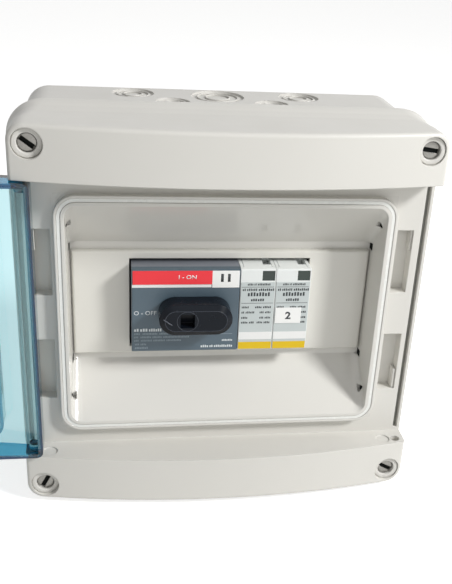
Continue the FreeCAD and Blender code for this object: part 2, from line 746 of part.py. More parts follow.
# Clip slots through the well's side walls: depth and distance from the middle of each slot.
CLIP_SLOTS = [
    ("(well_floor_depth + clip_near_floor)", "(well_floor_half_height - clip_low_inset)"),
    ("(seat_depth - clip_near_seat)", "(lip_half_height - clip_high_inset)"),
]
slot_inner = "(well_floor_half_width - clip_overlap)"
for right_end in (f"{slot_inner} + well_shell + 2 * clip_overlap", f"-{slot_inner}"):
    slots = new_sketch(cover, "YZ_Plane", right_end)
    for depth, distance in CLIP_SLOTS:
        for level in SIDES:
            draw_box(slots, f"-{depth} - clip_slot / 2", f"-{depth} + clip_slot / 2",
                     f"{level}{distance} - clip_slot / 2", f"{level}{distance} + clip_slot / 2")
    cut(cover, slots, "well_shell + 2 * clip_overlap")


def on_band_front(edge):
    middle = edge_middle(edge)
    at_height = abs(abs(middle.z) - number("cover_height / 2")) < EDGE_FOUND
    return at_height and middle.y < -number("band_end_depth")


round_edges(cover, "band_round", on_band_front)

lip_gasket = new_body("lip_gasket")
cord = new_sketch(lip_gasket, "XZ_Plane", "lip_gasket_depth")
lip_rings(cord, "lip_groove_out + gasket_gap", "lip_groove_out + lip_groove_width - gasket_gap")
pad(lip_gasket, cord, "lip_gasket_rise")

# The door is a clear tray, drawn closed and then turned open about its hinge.
door = new_body("door")
tray = new_sketch(door, "XZ_Plane", "door_back_depth")
draw_rounded(tray, "door_half_width", "door_half_height", "door_corner")
pad(door, tray, "front_limit - door_back_depth")
tray_hollow = new_sketch(door, "XY_Plane", "door_half_height - door_wall")
hollow_half = "(door_half_width - door_wall)"
draw_bow(tray_hollow, hollow_half, bow_depth(hollow_half) + " - door_inset - door_wall",
         "band_middle_depth - door_inset - door_wall", "door_back_depth - tool_overrun")
cut(door, tray_hollow, "2 * (door_half_height - door_wall)")
rib = new_sketch(door, "XZ_Plane", "door_rib_depth")
rib_middle = "lip_groove_out + lip_groove_width / 2"
lip_rings(rib, f"{rib_middle} - door_rib_thick / 2", f"{rib_middle} + door_rib_thick / 2")
pad(door, rib, "front_limit - door_rib_depth")

# Two snap hooks go into the strip pockets when the door is shut.
hooks = new_sketch(door, "XZ_Plane", "hook_tip_depth")
barbs = new_sketch(door, "XZ_Plane", "hook_tip_depth")
for inner, outer, low, high in STRIP_POCKETS:
    hook_low = f"({low} + {high}) / 2 - hook_half_width"
    hook_high = f"({low} + {high}) / 2 + hook_half_width"
    draw_box(hooks, "hook_x", "hook_x + hook_thick", hook_low, hook_high)
    draw_box(barbs, "hook_x - hook_barb", "hook_x + hook_thick / 2", hook_low, hook_high)
pad(door, hooks, "front_limit - hook_tip_depth")
pad(door, barbs, "2 * hook_barb")
door_front = new_sketch(door, "XY_Plane", "door_half_height + tool_overrun")
draw_bow(door_front, past_side, bow_depth(past_side) + " - door_inset",
         "band_middle_depth - door_inset", "front_limit + tool_overrun")
cut(door, door_front, "2 * (door_half_height + tool_overrun)")

# Each hinge pin starts halfway through the end wall, and a boss carries it on the inside.
wall_middle = "(door_half_height - door_wall / 2)"
pin_length = "(hinge_pin_reach + door_wall / 2)"
boss_length = "(hinge_boss_rise + door_wall / 2)"
for foot, length, radius in (
        (wall_middle, pin_length, "hinge_pin_radius"),
        (f"-{wall_middle} - {pin_length}", pin_length, "hinge_pin_radius"),
        (f"{wall_middle} - {boss_length}", boss_length, "hinge_boss_radius"),
        (f"-{wall_middle}", boss_length, "hinge_boss_radius")):
    pin = new_sketch(door, "XY_Plane", foot)
    draw_circle(pin, "-hinge_x", "-hinge_depth", radius)
    pad(door, pin, length)
door.Placement.Rotation = FreeCAD.Rotation(FreeCAD.Vector(0, 0, 1), number("door_rest_angle"))
door.setExpression("Placement.Rotation.Angle", formula("door_rest_angle"))
door.setExpression("Placement.Base.x", formula(
    "-hinge_x * (1 - cos(door_rest_angle * 1 deg)) - hinge_depth * sin(door_rest_angle * 1 deg)"))
door.setExpression("Placement.Base.y", formula(
    "-hinge_depth * (1 - cos(door_rest_angle * 1 deg)) + hinge_x * sin(door_rest_angle * 1 deg)"))

# The corner screws. Each driver slot stands where its screw happened to stop: slanted.
screws = new_body("cover_screws")
screws.AllowCompound = True
for depth, length, radius in (
        ("screw_tip_depth", "screw_seat_depth - screw_tip_depth", "screw_radius"),
        ("screw_seat_depth", "screw_head_rise", "screw_head_radius")):
    outline = new_sketch(screws, "XZ_Plane", depth)
    for side, level in CORNERS:
        draw_circle(outline, side + "screw_x", level + "screw_z", radius)
    pad(screws, outline, length)
slots = new_sketch(screws, "XZ_Plane", "screw_seat_depth + screw_head_rise")
far = "(screw_head_radius + screw_slot / 2)"
near = "(screw_head_radius - screw_slot / 2)"
for side, level in CORNERS:
    x, z = side + "screw_x", level + "screw_z"
    draw_polygon(slots, [(f"{x} - {far}", f"{z} + {near}"), (f"{x} + {near}", f"{z} - {far}"),
                         (f"{x} + {far}", f"{z} - {near}"), (f"{x} - {near}", f"{z} + {far}")])
cut(screws, slots, "screw_head_rise / 2")

# The module panel lies on the well's floor, with one window for five modules.
panel = new_body("module_panel")
plate = new_sketch(panel, "XZ_Plane", "well_floor_depth")
draw_box(plate, "-panel_half_width", "panel_half_width", "-panel_half_height", "panel_half_height")
pad(panel, plate, "panel_thick")
round_edges(panel, "panel_edge_round", lambda edge: at_depth(edge, number("panel_front_depth")))
window = new_sketch(panel, "XZ_Plane", "panel_front_depth")
draw_box(window, "device_centre_x - devices_half_width - window_gap",
         "device_centre_x + devices_half_width + window_gap",
         "-nose_half_height - window_end_gap", "nose_half_height + window_end_gap")
cut(panel, window, "panel_thick")

# The top-hat rail: its section is drawn from the side, as Y and Z of each corner.
rail = new_body("din_rail")
hat = new_sketch(rail, "YZ_Plane", "-rail_half_length")
upper = [
    ("-rail_front_depth", "rail_height / 2"),
    ("-rail_front_depth + rail_sheet", "rail_height / 2"),
    ("-rail_front_depth + rail_sheet", "rail_web_height / 2 + rail_sheet"),
    ("-rail_back_depth", "rail_web_height / 2 + rail_sheet"),
]
inner = [
    ("-rail_front_depth", "-rail_web_height / 2"),
    ("-rail_back_depth - rail_sheet", "-rail_web_height / 2"),
    ("-rail_back_depth - rail_sheet", "rail_web_height / 2"),
    ("-rail_front_depth", "rail_web_height / 2"),
]
lower = [(y, f"-({z})") for y, z in reversed(upper)]
draw_polygon(hat, upper + lower + inner)
pad(rail, hat, "2 * rail_half_length")
rail_slots = new_sketch(rail, "XZ_Plane", "rail_front_depth")
for side in SIDES:
    draw_circle(rail_slots, side + "rail_screw_x", "0", "rail_hole_radius")
cut(rail, rail_slots, "rail_rise")

rail_screws = new_body("rail_screws")
rail_screws.AllowCompound = True
rail_web_front = "rail_back_depth + rail_sheet"
for depth, length, radius in (
        ("rail_tip_depth", f"{rail_web_front} - rail_tip_depth", "screw_radius"),
        (rail_web_front, "rail_head_rise", "rail_head_radius")):
    outline = new_sketch(rail_screws, "XZ_Plane", depth)
    for side in SIDES:
        draw_circle(outline, side + "rail_screw_x", "0", radius)
    pad(rail_screws, outline, length)
slots = new_sketch(rail_screws, "XZ_Plane", f"{rail_web_front} + rail_head_rise")
for side in SIDES:
    draw_box(slots, f"{side}rail_screw_x - rail_head_radius",
             f"{side}rail_screw_x + rail_head_radius", "-screw_slot / 2", "screw_slot / 2")
cut(rail_screws, slots, "rail_head_rise / 2")


def device_profile(half_height, nose_depth):
    # Side view of a device that hooks over the rail's two edges: depth and Z of each corner.
    behind = "(rail_front_depth - rail_sheet - foot_gap)"
    rail_edge = "(rail_height / 2 + foot_gap)"
    half = [
        (nose_depth, "nose_half_height"),
        ("shoulder_depth", "nose_half_height"),
        ("shoulder_depth", half_height),
        ("rail_front_depth", half_height),
        ("rail_front_depth", "foot_half_height"),
        ("foot_back_depth", "foot_half_height"),
        ("foot_back_depth", f"{rail_edge} - foot_lip - foot_gap"),
        (behind, f"{rail_edge} - foot_lip - foot_gap"),
        (behind, rail_edge),
        ("rail_front_depth", rail_edge),
    ]
    outline = half + [(depth, f"-({z})") for depth, z in reversed(half)]
    return [(f"-({depth})", z) for depth, z in outline]


def device_block(body, left, right, half_height, nose_depth):
    side_view = new_sketch(body, "YZ_Plane", left)
    draw_polygon(side_view, device_profile(half_height, nose_depth))
    pad(body, side_view, f"({right}) - ({left})")


def device_terminals(body, middles, half_height):
    screws_seen = new_sketch(body, "XZ_Plane", "shoulder_depth")
    for middle in middles:
        for level in SIDES:
            draw_circle(screws_seen, middle, level + "terminal_z", "terminal_hole_radius")
    cut(body, screws_seen, "terminal_hole_sink")
    for mouth in (half_height, f"-({half_height}) + wire_hole_sink"):
        wires = new_sketch(body, "XY_Plane", mouth)
        for middle in middles:
            draw_circle(wires, middle, "-wire_hole_depth", "wire_hole_radius")
        cut(body, wires, "wire_hole_sink")


def terminal_screws(name, middles):
    body = new_body(name)
    body.AllowCompound = True
    foot = "shoulder_depth - terminal_hole_sink"
    heads = new_sketch(body, "XZ_Plane", foot)
    drives = new_sketch(body, "XZ_Plane", f"{foot} + terminal_head_rise")
    for middle in middles:
        for level in SIDES:
            draw_circle(heads, middle, level + "terminal_z", "terminal_head_radius")
            draw_box(drives, f"{middle} - terminal_head_radius", f"{middle} + terminal_head_radius",
                     f"{level}terminal_z - screw_slot / 2", f"{level}terminal_z + screw_slot / 2")
    pad(body, heads, "terminal_head_rise")
    cut(body, drives, "terminal_head_rise / 2")


# The rotary switch is three modules wide.
switch_left = "(device_centre_x - devices_half_width)"
switch_middle = f"({switch_left} + 1.5 * module_pitch)"
switch_right = f"({switch_left} + 3 * module_pitch)"
switch_body = new_body("switch_body")
device_block(switch_body, f"{switch_left} + module_gap", f"{switch_right} - module_gap",
             "switch_half_height", "switch_face_back")
poles = [f"{switch_left} + {place} * module_pitch" for place in (0.5, 1.5, 2.5)]
device_terminals(switch_body, poles, "switch_half_height")
shaft_hole = new_sketch(switch_body, "XZ_Plane", "switch_face_back")
draw_circle(shaft_hole, switch_middle, "0", "shaft_radius + hinge_fit")
cut(switch_body, shaft_hole, "switch_face_back - shaft_back_depth + shaft_end_gap")

switch_face = new_body("switch_front")
face_plate = new_sketch(switch_face, "XZ_Plane", "switch_face_back")
draw_box(face_plate, f"{switch_left} + module_gap", f"{switch_right} - module_gap",
         "-nose_half_height", "nose_half_height")
pad(switch_face, face_plate, "switch_face_thick")
round_edges(switch_face, "switch_face_round",
            lambda edge: at_depth(edge, number("device_front_depth")))
face_hole = new_sketch(switch_face, "XZ_Plane", "device_front_depth")
draw_circle(face_hole, switch_middle, "0", "shaft_radius + hinge_fit")
cut(switch_face, face_hole, "switch_face_thick")

shaft = new_body("switch_shaft")
shaft_outline = new_sketch(shaft, "XZ_Plane", "shaft_back_depth")
draw_circle(shaft_outline, switch_middle, "0", "shaft_radius")
pad(shaft, shaft_outline, "shaft_front_depth - shaft_back_depth")

# The grip stands off centre on its shaft: the short end is the pointer.
handle = new_body("switch_handle")
skirt = new_sketch(handle, "XZ_Plane", "handle_back_depth")
grip_left = f"{switch_middle} - handle_left + handle_radius"
grip_right = f"{switch_middle} + handle_right - handle_radius"
draw_stadium(skirt, grip_left, grip_right, "handle_radius")
pad(handle, skirt, "handle_skirt")
grip = []
for depth, radius in (("handle_back_depth + handle_skirt", "handle_radius"),
                      ("handle_front_depth", "handle_top_radius")):
    section = new_sketch(handle, "XZ_Plane", depth)
    draw_stadium(section, grip_left, grip_right, radius)
    grip.append(section)
loft(handle, "AdditiveLoft", grip)
lock = new_sketch(handle, "XZ_Plane", "handle_front_depth")
draw_box(lock, f"{switch_middle} - lock_width / 2", f"{switch_middle} + lock_width / 2",
         "-lock_height / 2", "lock_height / 2")
cut(handle, lock, "lock_sink")
socket = new_sketch(handle, "XZ_Plane", "shaft_front_depth")
draw_circle(socket, switch_middle, "0", "shaft_radius")
cut(handle, socket, "shaft_front_depth - handle_back_depth")


def stuck_on(name, depth, left, right, low, high):
    # A thin label or sticker on a face at the given depth.
    body = new_body(name)
    outline = new_sketch(body, "XZ_Plane", depth)
    draw_box(outline, left, right, low, high)
    pad(body, outline, "label_thick")


label_right = f"({switch_right} - module_gap - label_margin - sticker_width)"
stuck_on("switch_label", "device_front_depth", f"{switch_left} + module_gap + label_margin",
         label_right, "label_low_z", "label_high_z")
stuck_on("switch_sticker", "device_front_depth", label_right, f"{label_right} + sticker_width",
         "sticker_low_z", "label_high_z")
terminal_screws("switch_terminal_screws", poles)

# Two surge protectors, one module wide. Each has a plug-in cartridge between two cheeks, which
# a cap as wide as the module covers in front.
surge_middles = [f"({switch_right} + {place} * module_pitch)" for place in (0.5, 1.5)]
for place, middle in enumerate(surge_middles, start=1):
    bay_left = f"{middle} - bay_half_width"
    bay_right = f"{middle} + bay_half_width"
    plug_left = f"{middle} - plug_half_width"
    plug_right = f"{middle} + plug_half_width"
    surge = new_body(f"surge_base_{place}")
    device_block(surge, f"{middle} - module_pitch / 2 + module_gap",
                 f"{middle} + module_pitch / 2 - module_gap", "surge_half_height", "cheek_depth")
    between_cheeks = new_sketch(surge, "XZ_Plane", "cheek_depth")
    draw_box(between_cheeks, bay_left, bay_right,
             "-nose_half_height - cheek_thick", "nose_half_height + cheek_thick")
    cut(surge, between_cheeks, "cheek_depth - shoulder_depth")
    bay = new_sketch(surge, "XZ_Plane", "shoulder_depth")
    draw_box(bay, bay_left, bay_right,
             "-cartridge_half_height - cartridge_gap", "cartridge_half_height + cartridge_gap")
    cut(surge, bay, "cartridge_plug + cartridge_gap")
    contact_slots = new_sketch(surge, "XZ_Plane", "cartridge_back_depth - cartridge_gap")
    slot_half_width = "(contact_half_thick + contact_slot_gap)"
    slot_half_height = "(contact_half_width + contact_slot_gap)"
    for level in SIDES:
        draw_box(contact_slots, f"{middle} - {slot_half_width}", f"{middle} + {slot_half_width}",
                 f"{level}contact_z - {slot_half_height}", f"{level}contact_z + {slot_half_height}")
    cut(surge, contact_slots, "contact_length + contact_slot_gap")
    device_terminals(surge, [middle], "surge_half_height")

    cartridge = new_body(f"surge_cartridge_{place}")
    plug = new_sketch(cartridge, "XZ_Plane", "cartridge_back_depth")
    draw_box(plug, plug_left, plug_right, "-cartridge_half_height", "cartridge_half_height")
    pad(cartridge, plug, "cartridge_plug + cartridge_gap")
    head = new_sketch(cartridge, "XZ_Plane", "shoulder_depth + cartridge_gap")
    draw_box(head, plug_left, plug_right, "-nose_half_height", "nose_half_height")
    pad(cartridge, head, "cap_back_depth - shoulder_depth - cartridge_gap")
    cap = new_sketch(cartridge, "XZ_Plane", "cap_back_depth")
    cap_left = f"{middle} - cap_half_width"
    cap_right = f"{middle} + cap_half_width"
    draw_box(cap, cap_left, cap_right, "-nose_half_height", "nose_half_height")
    pad(cartridge, cap, "cap_thick")
    round_edges(cartridge, "cartridge_edge", front_cross_edge, "Chamfer")
    notch = new_sketch(cartridge, "XY_Plane", "nose_half_height")
    draw_box(notch, f"{plug_right} - grip_notch_width", plug_right,
             "-grip_notch_depth", "-shoulder_depth - cartridge_gap")
    cut(cartridge, notch, "grip_notch_sink")
    pane_right = f"{cap_right} - indicator_side_gap"
    pane_left = f"{pane_right} - indicator_width"
    recess = new_sketch(cartridge, "XZ_Plane", "device_front_depth")
    draw_box(recess, pane_left, pane_right, "indicator_low_z", "indicator_high_z")
    cut(cartridge, recess, "indicator_sink")

    indicator = new_body(f"surge_indicator_{place}")
    pane = new_sketch(indicator, "XZ_Plane", "device_front_depth - indicator_sink")
    draw_box(pane, pane_left, pane_right, "indicator_low_z", "indicator_high_z")
    pad(indicator, pane, "indicator_thick")

    contacts = new_body(f"surge_contacts_{place}")
    contacts.AllowCompound = True
    blades = new_sketch(contacts, "XZ_Plane", "cartridge_back_depth - contact_length")
    for level in SIDES:
        draw_box(blades, f"{middle} - contact_half_thick", f"{middle} + contact_half_thick",
                 f"{level}contact_z - contact_half_width", f"{level}contact_z + contact_half_width")
    pad(contacts, blades, "contact_length")

    stuck_on(f"surge_label_{place}", "device_front_depth", f"{cap_left} + surge_label_side_gap",
             f"{cap_right} - surge_label_side_gap", "surge_label_low_z", "surge_label_high_z")

sticker_left = f"{surge_middles[1]} - cap_half_width + 2 * surge_label_side_gap"
stuck_on("surge_sticker", "device_front_depth + label_thick", sticker_left,
         f"{sticker_left} + surge_sticker_width", "surge_sticker_low_z", "surge_sticker_high_z")
terminal_screws("surge_terminal_screws", surge_middles)

doc.recompute()
for item in doc.Objects:
    if "Invalid" in item.State or "Error" in item.State:
        raise RuntimeError(f"{item.Name} is {item.State}")
for body in doc.Objects:
    if body.TypeId != "PartDesign::Body":
        continue
    if body.Shape.isNull() or not body.Shape.isValid():
        raise RuntimeError(f"{body.Label} has a bad shape")
    body.Shape.exportStep(f"parts/{body.Label}.step")
    print(body.Label, len(body.Shape.Solids), round(body.Shape.Volume / 1000, 2))
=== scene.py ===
import math

import bpy
from mathutils import Matrix, Vector


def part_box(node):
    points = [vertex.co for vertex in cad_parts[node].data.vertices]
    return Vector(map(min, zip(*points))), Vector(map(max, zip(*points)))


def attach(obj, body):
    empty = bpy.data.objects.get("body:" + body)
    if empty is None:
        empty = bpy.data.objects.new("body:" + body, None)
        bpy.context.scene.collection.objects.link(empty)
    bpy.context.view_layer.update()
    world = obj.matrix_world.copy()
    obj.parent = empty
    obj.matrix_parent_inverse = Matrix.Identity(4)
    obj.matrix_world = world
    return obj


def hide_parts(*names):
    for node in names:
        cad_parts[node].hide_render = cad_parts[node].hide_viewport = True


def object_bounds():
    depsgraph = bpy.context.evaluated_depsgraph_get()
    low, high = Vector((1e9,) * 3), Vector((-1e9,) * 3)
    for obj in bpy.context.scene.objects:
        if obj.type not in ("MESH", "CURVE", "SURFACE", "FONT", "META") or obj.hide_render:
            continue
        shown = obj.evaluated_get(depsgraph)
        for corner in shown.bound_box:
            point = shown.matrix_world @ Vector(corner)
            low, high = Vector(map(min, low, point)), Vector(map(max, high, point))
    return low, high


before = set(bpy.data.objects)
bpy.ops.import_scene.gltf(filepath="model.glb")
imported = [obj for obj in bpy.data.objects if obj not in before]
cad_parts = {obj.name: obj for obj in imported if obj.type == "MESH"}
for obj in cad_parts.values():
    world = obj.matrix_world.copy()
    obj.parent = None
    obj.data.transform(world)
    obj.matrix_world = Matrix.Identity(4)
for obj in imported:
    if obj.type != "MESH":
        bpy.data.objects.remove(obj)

cadLow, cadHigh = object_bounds()  # the solids' box, before anything is added
mm = 0.001
edgeSamples = 6  # rays that soften the edges of a surface


def linear(hexColour, alpha=1.0):
    # sRGB hex as a colour picker shows it, turned into the linear values that shaders take
    channels = []
    for start in (1, 3, 5):
        value = int(hexColour[start:start + 2], 16) / 255
        channels.append(value / 12.92 if value <= 0.04045 else ((value + 0.055) / 1.055) ** 2.4)
    return (*channels, alpha)


def addNode(tree, kind, settings=None, inputs=None):
    # one node with its settings; an input is either a plain value or another node's output
    node = tree.nodes.new(kind)
    for name, value in (settings or {}).items():
        setattr(node, name, value)
    for name, value in (inputs or {}).items():
        if isinstance(value, bpy.types.NodeSocket):
            tree.links.new(value, node.inputs[name])
        else:
            node.inputs[name].default_value = value
    return node


def patternScale(sizeMm):
    # noise scale at which one blotch or grain is about this many millimetres across
    return 1.0 / (sizeMm * mm)


def emptyMaterial(name):
    material = bpy.data.materials.new(name)
    material.use_nodes = True
    material.node_tree.nodes.clear()
    return material


def frontOf(name):
    # depth of a CAD node's front face from the wall, in mm
    return -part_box(name)[0].y / mm


# the photograph was taken from above and a little to the left, 48 cm in front of the wall
photoCamera = {
    "place": (-0.0552, -0.4751, 0.1916),
    "turnLeft": -0.1896, "lookDown": 0.4509, "roll": 0.0697,
    "lens": 54.6, "sensorWidth": 36, "shiftX": -0.069, "shiftY": 0.051,
    "clipNear": 0.01, "clipFar": 50,
}


def makeCamera(look):
    data = bpy.data.cameras.new("photoCamera")
    data.lens, data.sensor_width = look["lens"], look["sensorWidth"]
    data.shift_x, data.shift_y = look["shiftX"], look["shiftY"]
    data.clip_start, data.clip_end = look["clipNear"], look["clipFar"]
    camera = bpy.data.objects.new("photoCamera", data)
    bpy.context.scene.collection.objects.link(camera)
    turn = Matrix.Rotation(look["turnLeft"], 4, "Z")
    tilt = Matrix.Rotation(math.pi / 2 - look["lookDown"], 4, "X")
    roll = Matrix.Rotation(look["roll"], 4, "Z")
    camera.matrix_world = Matrix.Translation(look["place"]) @ turn @ tilt @ roll
    bpy.context.scene.camera = camera


makeCamera(photoCamera)
print("camera set")

# a small bright softbox from the upper right, as in the photograph, and a wide weak one from the front
studio = {
    "floorSize": 16.0, "floorGap": 0.4 * mm,
    "floorColour": "#E9E9E7", "floorLift": 0.66, "floorRough": 0.9, "floorShine": 0.1,
    "skyLevel": 0.29,
    "keyPlace": (0.98, -0.74, 0.86), "keySize": 0.3, "keyPower": 19.6,
    "fillPlace": (0.0, -1.5, 0.7), "fillSize": 1.2, "fillPower": 2.0,
}


def seenDirectly(tree):
    # 1 where the camera, a reflection or a look through clear plastic meets the surface
    path = addNode(tree, "ShaderNodeLightPath")
    either = addNode(tree, "ShaderNodeMath", {"operation": "MAXIMUM"}, {
        0: path.outputs["Is Camera Ray"], 1: path.outputs["Is Glossy Ray"]})
    anyOf = addNode(tree, "ShaderNodeMath", {"operation": "MAXIMUM"}, {
        0: either.outputs[0], 1: path.outputs["Is Transmission Ray"]})
    return anyOf.outputs[0]


def makeFloor(look):
    bpy.ops.object.select_all(action="DESELECT")
    level = cadLow.z - look["floorGap"]
    bpy.ops.mesh.primitive_plane_add(size=look["floorSize"], location=(0, 0, level))
    floor = bpy.context.object
    floor.name = "studioFloor"
    material = emptyMaterial("paintedStudioFloor")
    tree = material.node_tree
    lift = addNode(tree, "ShaderNodeMath", {"operation": "MULTIPLY"}, {
        0: seenDirectly(tree), 1: look["floorLift"]})
    paint = addNode(tree, "ShaderNodeBsdfPrincipled", None, {
        "Base Color": linear(look["floorColour"]), "Roughness": look["floorRough"],
        "Specular IOR Level": look["floorShine"],
        "Emission Color": (1, 1, 1, 1), "Emission Strength": lift.outputs[0]})
    addNode(tree, "ShaderNodeOutputMaterial", None, {"Surface": paint.outputs["BSDF"]})
    floor.data.materials.append(material)


def makeSky(look):
    world = bpy.data.worlds.new("softSky")
    bpy.context.scene.world = world
    world.use_nodes = True
    tree = world.node_tree
    tree.nodes.clear()
    level = addNode(tree, "ShaderNodeMapRange", None, {
        "Value": seenDirectly(tree), "To Min": look["skyLevel"], "To Max": 1.0})
    sky = addNode(tree, "ShaderNodeBackground", None, {"Color": (1, 1, 1, 1), "Strength": level.outputs[0]})
    addNode(tree, "ShaderNodeOutputWorld", None, {"Surface": sky.outputs[0]})


def makeLamp(name, place, size, power):
    data = bpy.data.lights.new(name, "AREA")
    data.shape, data.size, data.energy = "DISK", size, power
    lamp = bpy.data.objects.new(name, data)
    bpy.context.scene.collection.objects.link(lamp)
    lamp.location = place
    lamp.rotation_euler = (-Vector(place)).to_track_quat("-Z", "Y").to_euler()


makeFloor(studio)
makeSky(studio)
makeLamp("keySoftbox", studio["keyPlace"], studio["keySize"], studio["keyPower"])
makeLamp("fillSoftbox", studio["fillPlace"], studio["fillSize"], studio["fillPower"])
bpy.context.scene.view_settings.view_transform = "Standard"
print("studio set")


def insideWindow(tree, place, window):
    # 1 within the window's lip, where the mould is polished, and 0 on the rest of the cover
    axes = addNode(tree, "ShaderNodeSeparateXYZ", None, {"Vector": place})
    near = []
    for axis, half in (("X", window["halfWidth"]), ("Z", window["halfHeight"])):
        away = addNode(tree, "ShaderNodeMath", {"operation": "ABSOLUTE"}, {0: axes.outputs[axis]})
        within = addNode(tree, "ShaderNodeMath", {"operation": "LESS_THAN"}, {
            0: away.outputs[0], 1: half * mm})
        near.append(within.outputs[0])
    return addNode(tree, "ShaderNodeMath", {"operation": "MULTIPLY"}, {
        0: near[0], 1: near[1]}).outputs[0]


# what all moulded and printed surfaces share: how fine their noise is, how their gloss drifts, and the
# specular level of those whose own look names none
sharedPlastic = {
    "toneDetail": 3.0, "toneBreakUp": 0.55, "grainDetail": 2.0,
    "glossPatch": 0.35, "glossDetail": 4.0, "glossFrom": 0.3, "glossTo": 0.7, "specular": 0.5,
}


def mouldedPlastic(name, look):
    # a moulded or printed surface: slow changes of tone, a fine grain, gloss that drifts, softened edges
    material = emptyMaterial(name)
    tree = material.node_tree
    place = addNode(tree, "ShaderNodeTexCoord").outputs["Object"]
    tone = addNode(tree, "ShaderNodeTexNoise", None, {
        "Vector": place, "Scale": patternScale(look["toneMm"]),
        "Detail": sharedPlastic["toneDetail"], "Roughness": sharedPlastic["toneBreakUp"]})
    mix = addNode(tree, "ShaderNodeMix", {"data_type": "RGBA"}, {
        "Factor": tone.outputs["Fac"], "A": linear(look["colour"]), "B": linear(look["otherTone"])})
    drift = addNode(tree, "ShaderNodeTexNoise", None, {
        "Vector": place, "Scale": patternScale(look["toneMm"] * sharedPlastic["glossPatch"]),
        "Detail": sharedPlastic["glossDetail"]})
    rough = addNode(tree, "ShaderNodeMapRange", None, {
        "Value": drift.outputs["Fac"],
        "From Min": sharedPlastic["glossFrom"], "From Max": sharedPlastic["glossTo"],
        "To Min": look["roughLow"], "To Max": look["roughHigh"]})
    grain = addNode(tree, "ShaderNodeTexNoise", None, {
        "Vector": place, "Scale": patternScale(look["grainMm"]), "Detail": sharedPlastic["grainDetail"]})
    edge = addNode(tree, "ShaderNodeBevel", {"samples": edgeSamples}, {"Radius": look["edgeMm"] * mm})
    gloss, depthOfGrain = rough.outputs[0], look["grainStrength"]
    if "polished" in look:
        inside = insideWindow(tree, place, look["polished"])
        gloss = addNode(tree, "ShaderNodeMix", None, {
            "Factor": inside, "A": rough.outputs[0], "B": look["polished"]["rough"]}).outputs["Result"]
        depthOfGrain = addNode(tree, "ShaderNodeMapRange", None, {
            "Value": inside, "To Min": look["grainStrength"],
            "To Max": look["polished"]["grainStrength"]}).outputs[0]
    bump = addNode(tree, "ShaderNodeBump", None, {
        "Strength": depthOfGrain, "Distance": look["grainDepthMm"] * mm,
        "Height": grain.outputs["Fac"], "Normal": edge.outputs[0]})
    shader = addNode(tree, "ShaderNodeBsdfPrincipled", None, {
        "Base Color": mix.outputs["Result"], "Roughness": gloss, "IOR": look["ior"],
        "Specular IOR Level": look.get("specular", sharedPlastic["specular"]), "Normal": bump.outputs[0]})
    addNode(tree, "ShaderNodeOutputMaterial", None, {"Surface": shader.outputs["BSDF"]})
    return material


# polystyrene housing from a spark-eroded mould: pale grey, half matt, so edges catch a soft light and flats
# stay even
housingLook = {
    "colour": "#D4D2CC", "otherTone": "#CFCDC8", "toneMm": 60, "roughLow": 0.4, "roughHigh": 0.5,
    "grainMm": 0.7, "grainStrength": 0.25, "grainDepthMm": 0.05, "edgeMm": 0.7, "ior": 1.55,
}
# the cover's mould is polished in the window: its well and lip mirror the devices softly
coverLook = {
    **housingLook, "colour": "#D8D6D0", "otherTone": "#D3D1CB",
    "polished": {"halfWidth": 82.2, "halfHeight": 62.9, "rough": 0.15, "grainStrength": 0.04},
}
# the same plastic from a polished mould: a clear, slightly wavy reflection on the panel
panelLook = {
    **housingLook, "colour": "#D9D7D0", "otherTone": "#D5D3CC", "roughLow": 0.16, "roughHigh": 0.24,
    "grainMm": 14, "grainStrength": 0.12, "grainDepthMm": 0.1, "edgeMm": 0.35,
}
# glass-filled polyamide, moulded: the switch's mid grey, dull body
switchBodyLook = {
    "colour": "#7C8088", "otherTone": "#767A82", "toneMm": 20, "roughLow": 0.4, "roughHigh": 0.5,
    "grainMm": 0.5, "grainStrength": 0.3, "grainDepthMm": 0.04, "edgeMm": 0.3, "ior": 1.53,
}
# the switch's front, moulded smoother: satin slate grey
switchFaceLook = {
    **switchBodyLook, "colour": "#4F606B", "otherTone": "#4A5A65", "roughLow": 0.36, "roughHigh": 0.46,
}
# near-black polyamide of the handle: satin, with a soft blue-grey highlight along its edges
handleLook = {
    "colour": "#0F151D", "otherTone": "#0C1119", "toneMm": 12, "roughLow": 0.2, "roughHigh": 0.28,
    "grainMm": 0.6, "grainStrength": 0.12, "grainDepthMm": 0.03, "edgeMm": 0.5, "ior": 1.5,
    "specular": 0.15,
}
# the same plastic on the handle's raised marks, made lighter as a painted highlight where the edges catch
# light
handleHighlightLook = {**handleLook, "colour": "#3A404C", "otherTone": "#343A45", "specular": 0.5}
# off-white polyester of the surge protectors' cases: clean, half gloss
protectorLook = {
    "colour": "#E4E7E5", "otherTone": "#DEE1E0", "toneMm": 15, "roughLow": 0.34, "roughHigh": 0.44,
    "grainMm": 0.5, "grainStrength": 0.2, "grainDepthMm": 0.03, "edgeMm": 0.3, "ior": 1.55,
}
# foamed rubber cord between base and cover: dull, slightly pitted
rubberLook = {
    "colour": "#4A4C4E", "otherTone": "#424446", "toneMm": 8, "roughLow": 0.75, "roughHigh": 0.85,
    "grainMm": 0.9, "grainStrength": 0.6, "grainDepthMm": 0.08, "edgeMm": 0.2, "ior": 1.5,
}
# extruded silicone cord in the lip: pale, half gloss
siliconeLook = {
    **rubberLook, "colour": "#EDEEEA", "otherTone": "#E6E7E3", "roughLow": 0.2, "roughHigh": 0.3,
    "grainStrength": 0.12,
}
# printed polyester foil of the labels: even colour, half gloss, hardly any grain
foilLook = {
    "colour": "#C2C9C8", "otherTone": "#BEC5C5", "toneMm": 10, "roughLow": 0.34, "roughHigh": 0.4,
    "grainMm": 1.2, "grainStrength": 0.05, "grainDepthMm": 0.02, "edgeMm": 0.05, "ior": 1.5,
}
redFoilLook = {**foilLook, "colour": "#EF2F3A", "otherTone": "#E92C37"}
